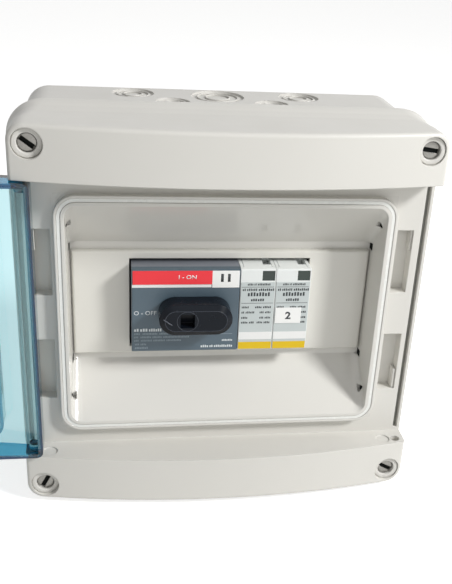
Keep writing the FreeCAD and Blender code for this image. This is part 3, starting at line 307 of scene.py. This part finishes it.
# laminated paper from a label printer: clean white, flat
paperLook = {**foilLook, "colour": "#F0F0EE", "otherTone": "#ECECEA", "roughLow": 0.45, "roughHigh": 0.55}
# pad-printed inks: thin and matt
darkInkLook = {**foilLook, "colour": "#33383A", "otherTone": "#2E3335", "roughLow": 0.55, "roughHigh": 0.6}
paleInkLook = {**darkInkLook, "colour": "#DDE2E4", "otherTone": "#D5DADC"}
dimInkLook = {**darkInkLook, "colour": "#8C999F", "otherTone": "#84919A"}
whiteInkLook = {**darkInkLook, "colour": "#ECECEA", "otherTone": "#E8E8E6"}
yellowInkLook = {**darkInkLook, "colour": "#E0BC08", "otherTone": "#D8B405"}
# painted shade for the bottom of narrow moulded slots, where hardly any light comes: near black, no gloss
paintedSlotLook = {
    **handleLook, "colour": "#1B1D1C", "otherTone": "#171918", "roughLow": 0.85, "roughHigh": 0.95,
    "specular": 0.1,
}
# painted shade on the floor of the long groove on the latch side: the cover's plastic, darkened as in its
# own shade
paintedGrooveLook = {**paintedSlotLook, "colour": "#8A8B85", "otherTone": "#80817C"}
# smoked acrylic pane of the protectors, polished: dark green-grey with a clear reflection
indicatorLook = {
    **handleLook, "colour": "#343F3A", "otherTone": "#2D3733", "roughLow": 0.12, "roughHigh": 0.18,
    "grainStrength": 0.02, "edgeMm": 0.1, "specular": 0.4,
}


# what all metals share: how fine their streaks are, and how far these tilt the surface
metalStreak = {"detail": 4.0, "strength": 0.15, "depthMm": 0.02}


def brushedMetal(name, look):
    # plated or stamped metal: a tight streak in the tone and in the gloss
    material = emptyMaterial(name)
    tree = material.node_tree
    place = addNode(tree, "ShaderNodeTexCoord").outputs["Object"]
    stretch = addNode(tree, "ShaderNodeMapping", None, {"Vector": place, "Scale": look["stretch"]})
    streak = addNode(tree, "ShaderNodeTexNoise", None, {
        "Vector": stretch.outputs[0], "Scale": patternScale(look["grainMm"]),
        "Detail": metalStreak["detail"]})
    mix = addNode(tree, "ShaderNodeMix", {"data_type": "RGBA"}, {
        "Factor": streak.outputs["Fac"], "A": linear(look["colour"]), "B": linear(look["otherTone"])})
    rough = addNode(tree, "ShaderNodeMapRange", None, {
        "Value": streak.outputs["Fac"], "To Min": look["roughLow"], "To Max": look["roughHigh"]})
    edge = addNode(tree, "ShaderNodeBevel", {"samples": edgeSamples}, {"Radius": look["edgeMm"] * mm})
    bump = addNode(tree, "ShaderNodeBump", None, {
        "Strength": metalStreak["strength"], "Distance": metalStreak["depthMm"] * mm,
        "Height": streak.outputs["Fac"], "Normal": edge.outputs[0]})
    shader = addNode(tree, "ShaderNodeBsdfPrincipled", None, {
        "Base Color": mix.outputs["Result"], "Metallic": 1.0, "Roughness": rough.outputs[0],
        "Normal": bump.outputs[0]})
    addNode(tree, "ShaderNodeOutputMaterial", None, {"Surface": shader.outputs["BSDF"]})
    return material


# zinc-plated steel, turned and dulled outdoors: mid grey with a soft shine
screwLook = {
    "colour": "#9A9893", "otherTone": "#7C7A76", "grainMm": 0.8, "stretch": (1, 1, 1),
    "roughLow": 0.3, "roughHigh": 0.45, "edgeMm": 0.25,
}
# zinc-plated steel, rolled: bluish, with streaks drawn lengthwise
railLook = {
    "colour": "#C4C8CC", "otherTone": "#A9AEB4", "grainMm": 0.6, "stretch": (0.05, 1, 1),
    "roughLow": 0.3, "roughHigh": 0.5, "edgeMm": 0.3,
}
# brass blades, stamped: warm, lightly tarnished
brassLook = {
    "colour": "#C9A24E", "otherTone": "#A9823A", "grainMm": 0.8, "stretch": (1, 0.2, 1),
    "roughLow": 0.28, "roughHigh": 0.45, "edgeMm": 0.1,
}
# drawn steel bar that the handle turns: mid grey, fine lengthwise streaks
shaftLook = {
    "colour": "#9C9EA2", "otherTone": "#86888C", "grainMm": 0.5, "stretch": (1, 0.1, 1),
    "roughLow": 0.3, "roughHigh": 0.45, "edgeMm": 0.2,
}

# blue-tinted polycarbonate of the door, moulded and polished: pale teal through its panel, and a painted
# deep blue along the outer walls, standing for the light that runs lengthwise through the plastic
doorLook = {
    "surface": "#FBFFFC", "roughLow": 0.02, "roughHigh": 0.06, "ior": 1.585,
    "through": (0.06, 0.58, 0.70), "density": 265.0,
    "paintedEdgeBlue": "#0E6E9E", "paintedEdgeReach": 1.4,  # a deep blue painted on the walls for the light run lengthwise through them, and how far it reaches in
    "hingeWall": -91.0, "halfHeight": 71.5,  # outer faces of the opened door's hinge wall and end walls
    "waveMm": 30, "waveDetail": 2.0, "waveStrength": 0.08, "waveDepthMm": 0.2,
}


def tintedPolycarbonate(name, look):
    # clear plastic with a slightly wavy surface, whose outer walls get a painted deep blue for the light
    # running lengthwise through them
    material = emptyMaterial(name)
    tree = material.node_tree
    place = addNode(tree, "ShaderNodeTexCoord").outputs["Object"]
    wave = addNode(tree, "ShaderNodeTexNoise", None, {
        "Vector": place, "Scale": patternScale(look["waveMm"]), "Detail": look["waveDetail"]})
    bump = addNode(tree, "ShaderNodeBump", None, {
        "Strength": look["waveStrength"], "Distance": look["waveDepthMm"] * mm,
        "Height": wave.outputs["Fac"]})
    rough = addNode(tree, "ShaderNodeMapRange", None, {
        "Value": wave.outputs["Fac"], "To Min": look["roughLow"], "To Max": look["roughHigh"]})
    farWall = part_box("door")[0].x
    axes = addNode(tree, "ShaderNodeSeparateXYZ", None, {"Vector": place})
    level = addNode(tree, "ShaderNodeMath", {"operation": "ABSOLUTE"}, {0: axes.outputs["Z"]})
    # a mask of the outer walls, where the deep blue of light run lengthwise is painted into the surface
    walls = 0
    for operation, value, limit in (
            ("GREATER_THAN", axes.outputs["X"], (look["hingeWall"] - look["paintedEdgeReach"]) * mm),
            ("LESS_THAN", axes.outputs["X"], farWall + look["paintedEdgeReach"] * mm),
            ("GREATER_THAN", level.outputs[0], (look["halfHeight"] - look["paintedEdgeReach"]) * mm)):
        side = addNode(tree, "ShaderNodeMath", {"operation": operation}, {0: value, 1: limit})
        walls = addNode(tree, "ShaderNodeMath", {"operation": "MAXIMUM"}, {
            0: walls, 1: side.outputs[0]}).outputs[0]
    skin = addNode(tree, "ShaderNodeMix", {"data_type": "RGBA"}, {
        "Factor": walls, "A": linear(look["surface"]), "B": linear(look["paintedEdgeBlue"])})
    shader = addNode(tree, "ShaderNodeBsdfPrincipled", None, {
        "Base Color": skin.outputs["Result"], "Roughness": rough.outputs[0], "IOR": look["ior"],
        "Transmission Weight": 1.0, "Normal": bump.outputs[0]})
    tint = addNode(tree, "ShaderNodeVolumeAbsorption", None, {
        "Color": (*look["through"], 1), "Density": look["density"]})
    addNode(tree, "ShaderNodeOutputMaterial", None, {
        "Surface": shader.outputs["BSDF"], "Volume": tint.outputs[0]})
    return material


housing = mouldedPlastic("polystyreneHousing", housingLook)
coverPlastic = mouldedPlastic("polystyreneCover", coverLook)
panelPlastic = mouldedPlastic("polystyrenePolishedPanel", panelLook)
switchBodyPlastic = mouldedPlastic("polyamideSwitchBody", switchBodyLook)
switchFacePlastic = mouldedPlastic("polyamideSwitchFront", switchFaceLook)
handlePlastic = mouldedPlastic("polyamideHandle", handleLook)
paintedHandleHighlight = mouldedPlastic("polyamideHandlePaintedHighlight", handleHighlightLook)
protectorPlastic = mouldedPlastic("polyesterProtectorCase", protectorLook)
sealRubber = mouldedPlastic("foamedRubberSeal", rubberLook)
windowSilicone = mouldedPlastic("extrudedSiliconeCord", siliconeLook)
protectorFoil = mouldedPlastic("printedFoilProtector", foilLook)
redFoil = mouldedPlastic("printedFoilRed", redFoilLook)
stickerPaper = mouldedPlastic("laminatedPaperSticker", paperLook)
darkInk = mouldedPlastic("padPrintedDarkInk", darkInkLook)
paleInk = mouldedPlastic("padPrintedPaleInk", paleInkLook)
dimInk = mouldedPlastic("padPrintedDimInk", dimInkLook)
whiteInk = mouldedPlastic("padPrintedWhiteInk", whiteInkLook)
yellowInk = mouldedPlastic("padPrintedYellowInk", yellowInkLook)
indicatorPane = mouldedPlastic("smokedAcrylicPane", indicatorLook)
paintedSlotShade = mouldedPlastic("paintedShadeMouldedSlot", paintedSlotLook)
grooveShade = mouldedPlastic("paintedShadeGrooveFloor", paintedGrooveLook)
screwZinc = brushedMetal("dulledZincScrew", screwLook)
railZinc = brushedMetal("zincPlatedRail", railLook)
contactBrass = brushedMetal("stampedBrassContact", brassLook)
shaftSteel = brushedMetal("drawnSteelShaft", shaftLook)
doorPolycarbonate = tintedPolycarbonate("polycarbonateDoor", doorLook)

finishes = {
    "rear_base": housing, "front_cover": coverPlastic, "cover_gasket": sealRubber,
    "lip_gasket": windowSilicone, "door": doorPolycarbonate, "cover_screws": screwZinc,
    "rail_screws": railZinc, "switch_terminal_screws": railZinc, "surge_terminal_screws": railZinc,
    "module_panel": panelPlastic, "din_rail": railZinc, "switch_body": switchBodyPlastic,
    "switch_front": switchFacePlastic, "switch_handle": handlePlastic, "switch_shaft": shaftSteel,
    "switch_label": redFoil, "switch_sticker": stickerPaper, "surge_sticker": stickerPaper,
    "surge_base_1": protectorPlastic, "surge_base_2": protectorPlastic,
    "surge_cartridge_1": protectorPlastic, "surge_cartridge_2": protectorPlastic,
    "surge_indicator_1": indicatorPane, "surge_indicator_2": indicatorPane,
    "surge_contacts_1": contactBrass, "surge_contacts_2": contactBrass,
    "surge_label_1": protectorFoil, "surge_label_2": protectorFoil,
}


def dressNodes():
    for name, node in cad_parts.items():
        node.data.materials.clear()
        node.data.materials.append(finishes[name])
        for face in node.data.polygons:
            face.material_index = 0


dressNodes()
print("materials on", len(finishes), "nodes")

facingFront = (math.pi / 2, 0, 0)  # turns what stands along Z until it points to the front


def metres(*lengths):
    # lengths in mm, as Blender takes them
    return [length * mm for length in lengths]


def finishPiece(piece, name, material, body):
    # gives a piece its name, its finish and the body that it moves with; its place goes into its mesh
    piece.name = name
    piece.data.name = name
    piece.data.materials.clear()
    piece.data.materials.append(material)
    bpy.ops.object.select_all(action="DESELECT")
    piece.select_set(True)
    bpy.context.view_layer.objects.active = piece
    bpy.ops.object.transform_apply(location=True, rotation=True, scale=True)
    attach(piece, body)
    return piece


def joinPieces(pieces, name, material, body):
    bpy.ops.object.select_all(action="DESELECT")
    for piece in pieces:
        piece.select_set(True)
    bpy.context.view_layer.objects.active = pieces[0]
    if len(pieces) > 1:
        bpy.ops.object.join()
    return finishPiece(pieces[0], name, material, body)


def roundEdges(piece, width, steps=2):
    # bevels the edges of the piece that was made or picked last, by a width in mm
    bevel = piece.modifiers.new("bevel", "BEVEL")
    bevel.width, bevel.segments = width * mm, steps
    bpy.ops.object.modifier_apply(modifier="bevel")


def makeBar(middle, size, edge, steps=2):
    # a bar with bevelled edges; its middle and size in mm
    bpy.ops.object.select_all(action="DESELECT")
    bpy.ops.mesh.primitive_cube_add(size=1, location=metres(*middle))
    bar = bpy.context.object
    bar.scale = metres(*size)
    bpy.ops.object.transform_apply(location=False, rotation=False, scale=True)
    roundEdges(bar, edge, steps)
    return bar


def makeTube(middle, radius, height, wall, edge, steps=2, sides=40, turn=facingFront):
    # a tube with bevelled rims; its middle, outer radius, height and wall in mm
    bpy.ops.object.select_all(action="DESELECT")
    bpy.ops.mesh.primitive_cylinder_add(
        vertices=sides, radius=radius * mm, depth=height * mm, end_fill_type="NOTHING",
        location=metres(*middle), rotation=turn)
    tube = bpy.context.object
    solid = tube.modifiers.new("wall", "SOLIDIFY")
    solid.thickness, solid.offset = wall * mm, -1
    bpy.ops.object.modifier_apply(modifier="wall")
    roundEdges(tube, edge, steps)
    return tube


# ink and foil: how thick, how deep the foot is sunk, and the rim's slope, at most a fifth of the height
inkLayer = {"thick": 0.05, "sunk": 0.03, "rim": 0.04, "rimPart": 5, "curveSteps": 3}


def printedField(left, right, low, high, depth, thick=inkLayer["thick"]):
    # a thin field of ink or foil that faces the front, its rim sloped and its foot sunk into the face; in mm
    bpy.ops.object.select_all(action="DESELECT")
    middle = metres((left + right) / 2, -(depth - inkLayer["sunk"]), (low + high) / 2)
    bpy.ops.mesh.primitive_plane_add(size=1, location=middle, rotation=facingFront)
    field = bpy.context.object
    field.scale = ((right - left) * mm, (high - low) * mm, 1)
    bpy.ops.object.transform_apply(location=False, rotation=True, scale=True)
    bpy.ops.object.mode_set(mode="EDIT")
    bpy.ops.mesh.select_all(action="SELECT")
    bpy.ops.mesh.extrude_region_move(
        TRANSFORM_OT_translate={"value": (0, -(thick + inkLayer["sunk"]) * mm, 0)})
    bpy.ops.mesh.inset(thickness=min(inkLayer["rim"], (high - low) / inkLayer["rimPart"]) * mm)
    bpy.ops.mesh.select_all(action="SELECT")
    bpy.ops.mesh.normals_make_consistent(inside=False)
    bpy.ops.object.mode_set(mode="OBJECT")
    return field


def printedWord(text, name, word, depth, material, body):
    # letters of a height in mm, their lower left corner at (left, low), stretched to the width
    bpy.ops.object.select_all(action="DESELECT")
    bpy.ops.object.text_add()
    font = bpy.context.object.data
    font.body = text
    font.size = 1
    font.resolution_u = inkLayer["curveSteps"]
    font.offset = word.get("bolder", 0)
    bpy.ops.object.convert(target="MESH")
    letters = bpy.context.object
    xs = [vertex.co.x for vertex in letters.data.vertices]
    ys = [vertex.co.y for vertex in letters.data.vertices]
    high = word["height"] * mm / (max(ys) - min(ys))
    wide = word["width"] * mm / (max(xs) - min(xs))
    letters.data.transform(Matrix.Translation((-min(xs), -min(ys), 0)))
    letters.data.transform(Matrix.Diagonal((wide, high, 1, 1)))
    bpy.ops.object.mode_set(mode="EDIT")
    bpy.ops.mesh.select_all(action="SELECT")
    bpy.ops.mesh.extrude_region_move(TRANSFORM_OT_translate={"value": (0, 0, inkLayer["thick"] * mm)})
    bpy.ops.mesh.select_all(action="SELECT")
    bpy.ops.mesh.normals_make_consistent(inside=False)
    bpy.ops.object.mode_set(mode="OBJECT")
    letters.rotation_euler = facingFront
    letters.location = metres(word["left"], -depth, word["low"])
    return finishPiece(letters, name, material, body)


# the blocks that small print is made of, as shares of a row's height: every third block is a little lower
smallLetters = {"wide": 0.5, "gap": 0.24, "lower": 0.82, "lowerEvery": 3}


def smallPrint(rows, depth):
    # rows of (foot, height, ends of each word); from afar, a run of small upright blocks looks like a word
    blocks = []
    for low, height, words in rows:
        letterWide, letterGap = height * smallLetters["wide"], height * smallLetters["gap"]
        for left, right in words:
            count = max(1, round((right - left + letterGap) / (letterWide + letterGap)))
            step = (right - left + letterGap) / count
            for place in range(count):
                start = left + place * step
                tall = height if place % smallLetters["lowerEvery"] else height * smallLetters["lower"]
                blocks.append(printedField(start, start + step - letterGap, low, low + tall, depth))
    return blocks


# print on the switch's face: ON and OFF, a number on the sticker, and small print as blocks
switchPrint = {
    "onWord": {"left": -23.4, "low": 17.6, "height": 2.1, "width": 8.8, "bolder": 0.01},
    "offWord": {"left": -45.3, "low": -2.0, "height": 2.2, "width": 11.2},
    "number": {"left": -2.4, "low": 16.0, "height": 4.3, "width": 4.8, "bolder": 0.05},
    "underline": (-46.2, -7.0, 13.0, 14.7), "underlineThick": 0.1,
    "rightLine": (-5.5, 4.6, -13.2, -12.95),
    "leftRows": [
        (-11.2, 1.6, [(-45.2, -43.0), (-42.2, -38.6), (-37.8, -31.6)]),
        (-13.0, 1.0, [(-45.2, -42.4), (-41.0, -33.6), (-32.6, -28.2)]),
        (-14.9, 1.0, [(-45.2, -43.2), (-42.0, -36.8), (-36.0, -31.4), (-30.6, -17.6)]),
        (-16.8, 1.0, [(-45.2, -43.0), (-41.8, -36.4), (-35.6, -29.8), (-29.0, -21.6)]),
        (-18.9, 1.0, [(-44.8, -42.8), (-42.0, -39.2)]),
        (-21.0, 1.1, [(-44.8, -38.4)]),
    ],
    "rightRows": [
        (-17.2, 1.0, [(-0.6, 4.7)]),
        (-20.7, 1.3, [(-11.4, -7.6), (-6.9, -5.3), (-4.6, 4.8)]),
    ],
}


def printSwitch(look):
    face, label = frontOf("switch_front"), frontOf("switch_label")
    sticker = frontOf("switch_sticker")
    printedWord("I - ON", "onWord", look["onWord"], label, whiteInk, "box")
    printedWord("O - OFF", "offWord", look["offWord"], face, paleInk, "box")
    printedWord("11", "switchNumber", look["number"], sticker, darkInk, "box")
    underline = printedField(*look["underline"], face, thick=look["underlineThick"])
    joinPieces([underline], "switchUnderline", whiteInk, "box")
    joinPieces([printedField(*look["rightLine"], face)], "switchRightLine", dimInk, "box")
    clearRows = look["leftRows"][:1] + look["rightRows"]
    joinPieces(smallPrint(clearRows, face), "switchClearPrint", paleInk, "box")
    joinPieces(smallPrint(look["leftRows"][1:], face), "switchFinePrint", dimInk, "box")


printSwitch(switchPrint)
print("print on the switch")

# print on each protector, measured from the middle of its module
protectorPrint = {
    "topRow": (13.9, 1.1, [(-5.3, -2.5), (-1.9, -0.9), (-0.2, 6.2)]),
    "titleRow": (10.9, 1.3, [(-7.7, -6.2), (-5.5, -0.4), (0.4, 8.2)]),
    "boldRow": (8.0, 2.1, [(-5.0, 6.2)]),
    "middleRow": (5.2, 1.4, [(-3.2, -0.2), (0.3, 3.4)]),
    "leftRows": [
        (1.3, 1.1, [(-7.7, -4.2)]), (-1.6, 1.1, [(-7.7, -6.4), (-5.6, -1.2)]),
        (-4.6, 1.1, [(-7.7, -4.6)]), (-7.3, 1.1, [(-7.7, -4.4), (-3.6, -1.2)]),
    ],
    "rightRows": [
        (1.3, 1.1, [(-0.9, 2.4), (3.2, 7.2)]), (-1.6, 1.1, [(1.6, 3.6), (4.4, 7.2)]),
        (-4.6, 1.1, [(1.6, 3.6), (4.4, 7.2)]), (-7.3, 1.1, [(0.4, 3.2), (4.0, 7.0)]),
    ],
    "rightOfSticker": [
        (-1.6, 1.1, [(5.2, 7.6)]), (-4.6, 1.1, [(5.2, 7.6)]), (-7.3, 1.1, [(5.0, 7.4)]),
    ],
    "ruleHigh": 0.22, "ruleInset": 0.5, "rules": [12.9, 4.0],
    "whiteStrip": (-16.4, -12.2), "yellowStrip": (-21.9, -17.9),
    "stickerNumber": {"height": 4.2, "width": 2.9, "bolder": 0.03},
}


def shifted(rows, middle):
    moved = []
    for low, height, words in rows:
        moved.append((low, height, [(left + middle, right + middle) for left, right in words]))
    return moved


def printProtector(number, look):
    # the first unit's label shows all its rows; a sticker hides part of them on the second
    label = f"surge_label_{number}"
    low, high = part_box(label)
    left, right, front = low.x / mm, high.x / mm, frontOf(label)
    middle = (left + right) / 2
    body = f"cartridge_{number}"
    white = printedField(left, right, *look["whiteStrip"], front)
    joinPieces([white], f"protectorWhite{number}", whiteInk, body)
    yellow = printedField(left, right, *look["yellowStrip"], front)
    joinPieces([yellow], f"protectorYellow{number}", yellowInk, body)
    rules = []
    for level in look["rules"]:
        rules.append(printedField(
            left + look["ruleInset"], right - look["ruleInset"], level, level + look["ruleHigh"], front))
    joinPieces(rules, f"protectorRules{number}", darkInk, body)
    rows = [look["topRow"], look["titleRow"], look["boldRow"], look["middleRow"]]
    if number == 1:
        rows += look["leftRows"] + look["rightRows"]
    else:
        rows += look["leftRows"][:1] + look["rightRows"][:1] + look["rightOfSticker"]
    joinPieces(smallPrint(shifted(rows, middle), front), f"protectorPrint{number}", darkInk, body)


printProtector(1, protectorPrint)
printProtector(2, protectorPrint)


def numberSticker(look):
    # the stuck-on number of the second protector
    low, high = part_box("surge_sticker")
    word = dict(look["stickerNumber"])
    word["left"] = (low.x + high.x) / 2 / mm - word["width"] / 2
    word["low"] = (low.z + high.z) / 2 / mm - word["height"] / 2
    printedWord("2", "protectorNumber", word, frontOf("surge_sticker"), darkInk, "cartridge_2")


numberSticker(protectorPrint)
print("print on the protectors")

# the handle's moulded marks, at its rest place: the pointer ridge, the round rim about the lock hole and the
# raised line round its front, all in the lighter plastic of a painted highlight
handleMarks = {
    "pointerFrom": (-31.4, 1.3), "pointerTo": (-27.0, -1.9), "pointerWide": 0.5, "rise": 0.4,
    "rimPlace": (-19.5, 0.0), "rimRadius": 5.3, "rimWide": 0.25, "rimRise": 0.15, "rimSides": 48,
    "markEdge": 0.12,
    "frontEnds": (-25.1, -5.3), "frontRadius": 5.4, "frontSides": 64,
    "lineWide": 0.34, "lineSunk": 0.12, "lineSteps": 2,
}


def makePointer(look):
    # a slanted ridge on the handle's short end
    (x1, z1), (x2, z2) = look["pointerFrom"], look["pointerTo"]
    middle = ((x1 + x2) / 2, -frontOf("switch_handle"), (z1 + z2) / 2)
    size = (math.hypot(x2 - x1, z2 - z1), 2 * look["rise"], look["pointerWide"])
    ridge = makeBar(middle, size, look["markEdge"])
    ridge.rotation_euler = (0, -math.atan2(z2 - z1, x2 - x1), 0)
    finishPiece(ridge, "handlePointer", paintedHandleHighlight, "handle")


def makeLockRim(look):
    # a low round rim about the lock hole
    x, z = look["rimPlace"]
    rim = makeTube(
        (x, -frontOf("switch_handle"), z), look["rimRadius"], 2 * look["rimRise"], look["rimWide"],
        look["markEdge"], sides=look["rimSides"])
    finishPiece(rim, "handleLockRim", paintedHandleHighlight, "handle")


def makeFrontEdge(look):
    # the raised line round the handle's front: a circle drawn out to a long oval, made round in section; its
    # lighter plastic is a painted highlight
    x1, x2 = look["frontEnds"]
    depth = frontOf("switch_handle") - look["lineSunk"]
    bpy.ops.object.select_all(action="DESELECT")
    bpy.ops.mesh.primitive_circle_add(
        vertices=look["frontSides"], radius=look["frontRadius"] * mm,
        location=metres(x1, -depth, 0), rotation=facingFront)
    edge = bpy.context.object
    bpy.ops.object.transform_apply(location=True, rotation=True, scale=True)
    bpy.ops.object.mode_set(mode="EDIT")
    bpy.ops.mesh.select_all(action="DESELECT")
    bpy.ops.object.mode_set(mode="OBJECT")
    for vertex in edge.data.vertices:
        vertex.select = vertex.co.x > x1 * mm
    bpy.ops.object.mode_set(mode="EDIT")
    bpy.ops.transform.translate(value=((x2 - x1) * mm, 0, 0))
    bpy.ops.object.mode_set(mode="OBJECT")
    bpy.ops.object.convert(target="CURVE")
    edge.data.bevel_depth, edge.data.bevel_resolution = look["lineWide"] / 2 * mm, look["lineSteps"]
    bpy.ops.object.convert(target="MESH")
    finishPiece(bpy.context.object, "handleFrontEdge", paintedHandleHighlight, "handle")


makePointer(handleMarks)
makeLockRim(handleMarks)
makeFrontEdge(handleMarks)
print("handle marks made")

# corner screws: a turned head with a broad driver slot, each stopped at its own angle, in a moulded collar
cornerScrews = {
    "headRadius": 4.0, "headHigh": 2.2, "headSides": 40, "headEdge": 0.2, "shankRadius": 1.9,
    "facesBack": 0.9, "smoothBelow": 40,  # least Y of the back face's normal; an angle in degrees
    "angles": {(-1, 1): 37, (1, 1): 8, (-1, -1): 118, (1, -1): 28},
    "slotWide": 2.2, "slotDeep": 1.4, "cutterPast": 2.0,
    "floorThick": 0.5, "floorSunk": 0.05, "floorShort": 0.6, "floorPlay": 0.1, "floorEdge": 0.08,
    "collarOut": 6.7, "collarIn": 4.4, "collarHigh": 3.4,
    "collarEdge": 0.35, "collarSteps": 3, "collarSides": 56,
}


def makeScrew(x, z, front, tip, angle, look):
    # the head is a cylinder; its back face is inset and drawn out to the shank, and a block cuts its slot
    bpy.ops.object.select_all(action="DESELECT")
    bpy.ops.mesh.primitive_cylinder_add(
        vertices=look["headSides"], radius=look["headRadius"] * mm, depth=look["headHigh"] * mm,
        location=metres(x, -(front - look["headHigh"] / 2), z), rotation=facingFront)
    screw = bpy.context.object
    bpy.ops.object.transform_apply(location=False, rotation=True, scale=True)
    bpy.ops.object.mode_set(mode="EDIT")
    bpy.ops.mesh.select_all(action="DESELECT")
    bpy.ops.object.mode_set(mode="OBJECT")
    for face in screw.data.polygons:
        face.select = face.normal.y > look["facesBack"]
    bpy.ops.object.mode_set(mode="EDIT")
    bpy.ops.mesh.inset(thickness=(look["headRadius"] - look["shankRadius"]) * mm)
    bpy.ops.mesh.extrude_region_move(
        TRANSFORM_OT_translate={"value": (0, (front - look["headHigh"] - tip) * mm, 0)})
    bpy.ops.object.mode_set(mode="OBJECT")
    bpy.ops.object.select_all(action="DESELECT")
    bpy.ops.mesh.primitive_cube_add(size=1, location=metres(x, -front, z))
    cutter = bpy.context.object
    cutter.scale = metres(
        2 * (look["headRadius"] + look["cutterPast"]), 2 * look["slotDeep"], look["slotWide"])
    cutter.rotation_euler = (0, math.radians(angle), 0)
    bpy.ops.object.select_all(action="DESELECT")
    bpy.context.view_layer.objects.active = screw
    screw.select_set(True)
    slot = screw.modifiers.new("slot", "BOOLEAN")
    slot.operation, slot.object, slot.solver = "DIFFERENCE", cutter, "EXACT"
    bpy.ops.object.modifier_apply(modifier="slot")
    bpy.data.objects.remove(cutter)
    roundEdges(screw, look["headEdge"])
    bpy.ops.object.shade_smooth_by_angle(angle=math.radians(look["smoothBelow"]))
    return screw


def makeSlotShadeFloor(x, z, front, angle, look):
    # the dark floor of a driver slot: a strip with bevelled edges, turned with the slot; near black, it is
    # painted shade
    length = 2 * math.sqrt(look["headRadius"] ** 2 - (look["slotWide"] / 2) ** 2) - look["floorShort"]
    middle = front - look["slotDeep"] + look["floorThick"] / 2 - look["floorSunk"]
    size = (length, look["floorThick"], look["slotWide"] - look["floorPlay"])
    strip = makeBar((x, -middle, z), size, look["floorEdge"], steps=1)
    strip.rotation_euler = (0, math.radians(angle), 0)
    return strip


def makeCollar(x, z, back, look):
    # a ring of the housing's plastic round the screw head, nearly flush with the band
    middle = (x, -(back + look["collarHigh"] / 2), z)
    collar = makeTube(
        middle, look["collarOut"], look["collarHigh"], look["collarOut"] - look["collarIn"],
        look["collarEdge"], look["collarSteps"], look["collarSides"])
    bpy.ops.object.shade_smooth_by_angle(angle=math.radians(look["smoothBelow"]))
    return collar


def fitCornerScrews(look):
    low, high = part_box("cover_screws")
    acrossX, acrossZ = high.x / mm - look["headRadius"], high.z / mm - look["headRadius"]
    front, tip = -low.y / mm, -high.y / mm
    screws, collars, floors = [], [], []
    for (side, level), angle in look["angles"].items():
        x, z = side * acrossX, level * acrossZ
        # a near-black strip in each slot: painted shade
        floors.append(makeSlotShadeFloor(x, z, front, angle, look))
        screws.append(makeScrew(x, z, front, tip, angle, look))
        collars.append(makeCollar(x, z, front - look["headHigh"], look))
    screws = joinPieces(screws, "cornerScrews", screwZinc, "box")
    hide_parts("cover_screws")
    joinPieces(collars, "screwCollars", housing, "box")
    joinPieces(floors, "screwSlotPaintedShade", paintedSlotShade, "box")


fitCornerScrews(cornerScrews)
print("corner screws fitted")

# the cover's small places: near-black plates of painted shade in the well's clip slots, posts and tabs in
# the side pockets, and a floor of painted shade in the groove on the latch side; each has its ends in X, its
# levels in Z and its depths from the wall
coverTrim = {
    "clips": [((60.4, 64.6), 31.0, 76.0), ((71.5, 75.3), 47.0, 76.45)],  # depths, middle height, start in X
    "clipBackX": 78.4, "clipHalf": 1.75, "plateEdge": 0.05,
    "post": ((91.9, 93.45), (-45.2, -33.7), (71.4, 77.4)),
    "tab": ((91.2, 92.25), (34.1, 45.1), (71.4, 77.2)), "postEdge": 0.4,
    "latchGroove": ((96.25, 98.25), (-69.9, 69.9), (75.45, 75.75)),
}


def block(ends, levels, depths, edge):
    # a small block with bevelled edges; in mm
    (left, right), (low, high), (back, front) = ends, levels, depths
    middle = ((left + right) / 2, -(back + front) / 2, (low + high) / 2)
    return makeBar(middle, (abs(right - left), front - back, high - low), edge)


def trimCover(look):
    plates, posts = [], []
    for side in (-1, 1):
        for depths, away, startX in look["clips"]:
            ends = (side * startX, side * look["clipBackX"])
            for level in (-1, 1):
                z = level * away
                levels = (z - look["clipHalf"], z + look["clipHalf"])
                plates.append(block(ends, levels, depths, look["plateEdge"]))
        for ends, levels, depths in (look["post"], look["tab"]):
            posts.append(block([side * end for end in ends], levels, depths, look["postEdge"]))
    # the clip plates and the groove floor are painted shade, darker than the cover around them
    joinPieces(plates, "clipSlotPaintedShade", paintedSlotShade, "box")
    grooveFloor = block(*look["latchGroove"], look["plateEdge"])
    joinPieces([grooveFloor], "latchGroovePaintedShade", grooveShade, "box")
    joinPieces(posts, "pocketPosts", housing, "box")


trimCover(coverTrim)
print("cover trim made")

# ridges inside the knock-outs: each recess in the base's top and bottom holds two thin moulded rings
knockouts = {
    "places": [  # each recess's X, depth from the wall and radius
        (-44.0, 14.0, 10.5), (-1.0, 17.0, 13.5), (42.0, 14.0, 10.5), (-25.0, 32.0, 8.5), (25.0, 32.0, 8.5)],
    "rings": [0.8, 0.48],  # shares of the recess's radius
    "wall": 0.7, "rise": 0.75, "sink": 1.0, "edge": 0.2, "sides": 40,
}


def makeKnockoutRings(look):
    low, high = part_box("rear_base")
    rings = []
    for foot, side in ((high.z / mm - look["sink"], 1), (low.z / mm + look["sink"], -1)):
        level = foot + side * look["rise"] / 2
        for x, depth, radius in look["places"]:
            for share in look["rings"]:
                rings.append(makeTube(
                    (x, -depth, level), radius * share, look["rise"], look["wall"],
                    look["edge"], sides=look["sides"], turn=(0, 0, 0)))
    joinPieces(rings, "knockoutRings", housing, "box")


makeKnockoutRings(knockouts)
print("knock-out rings made")
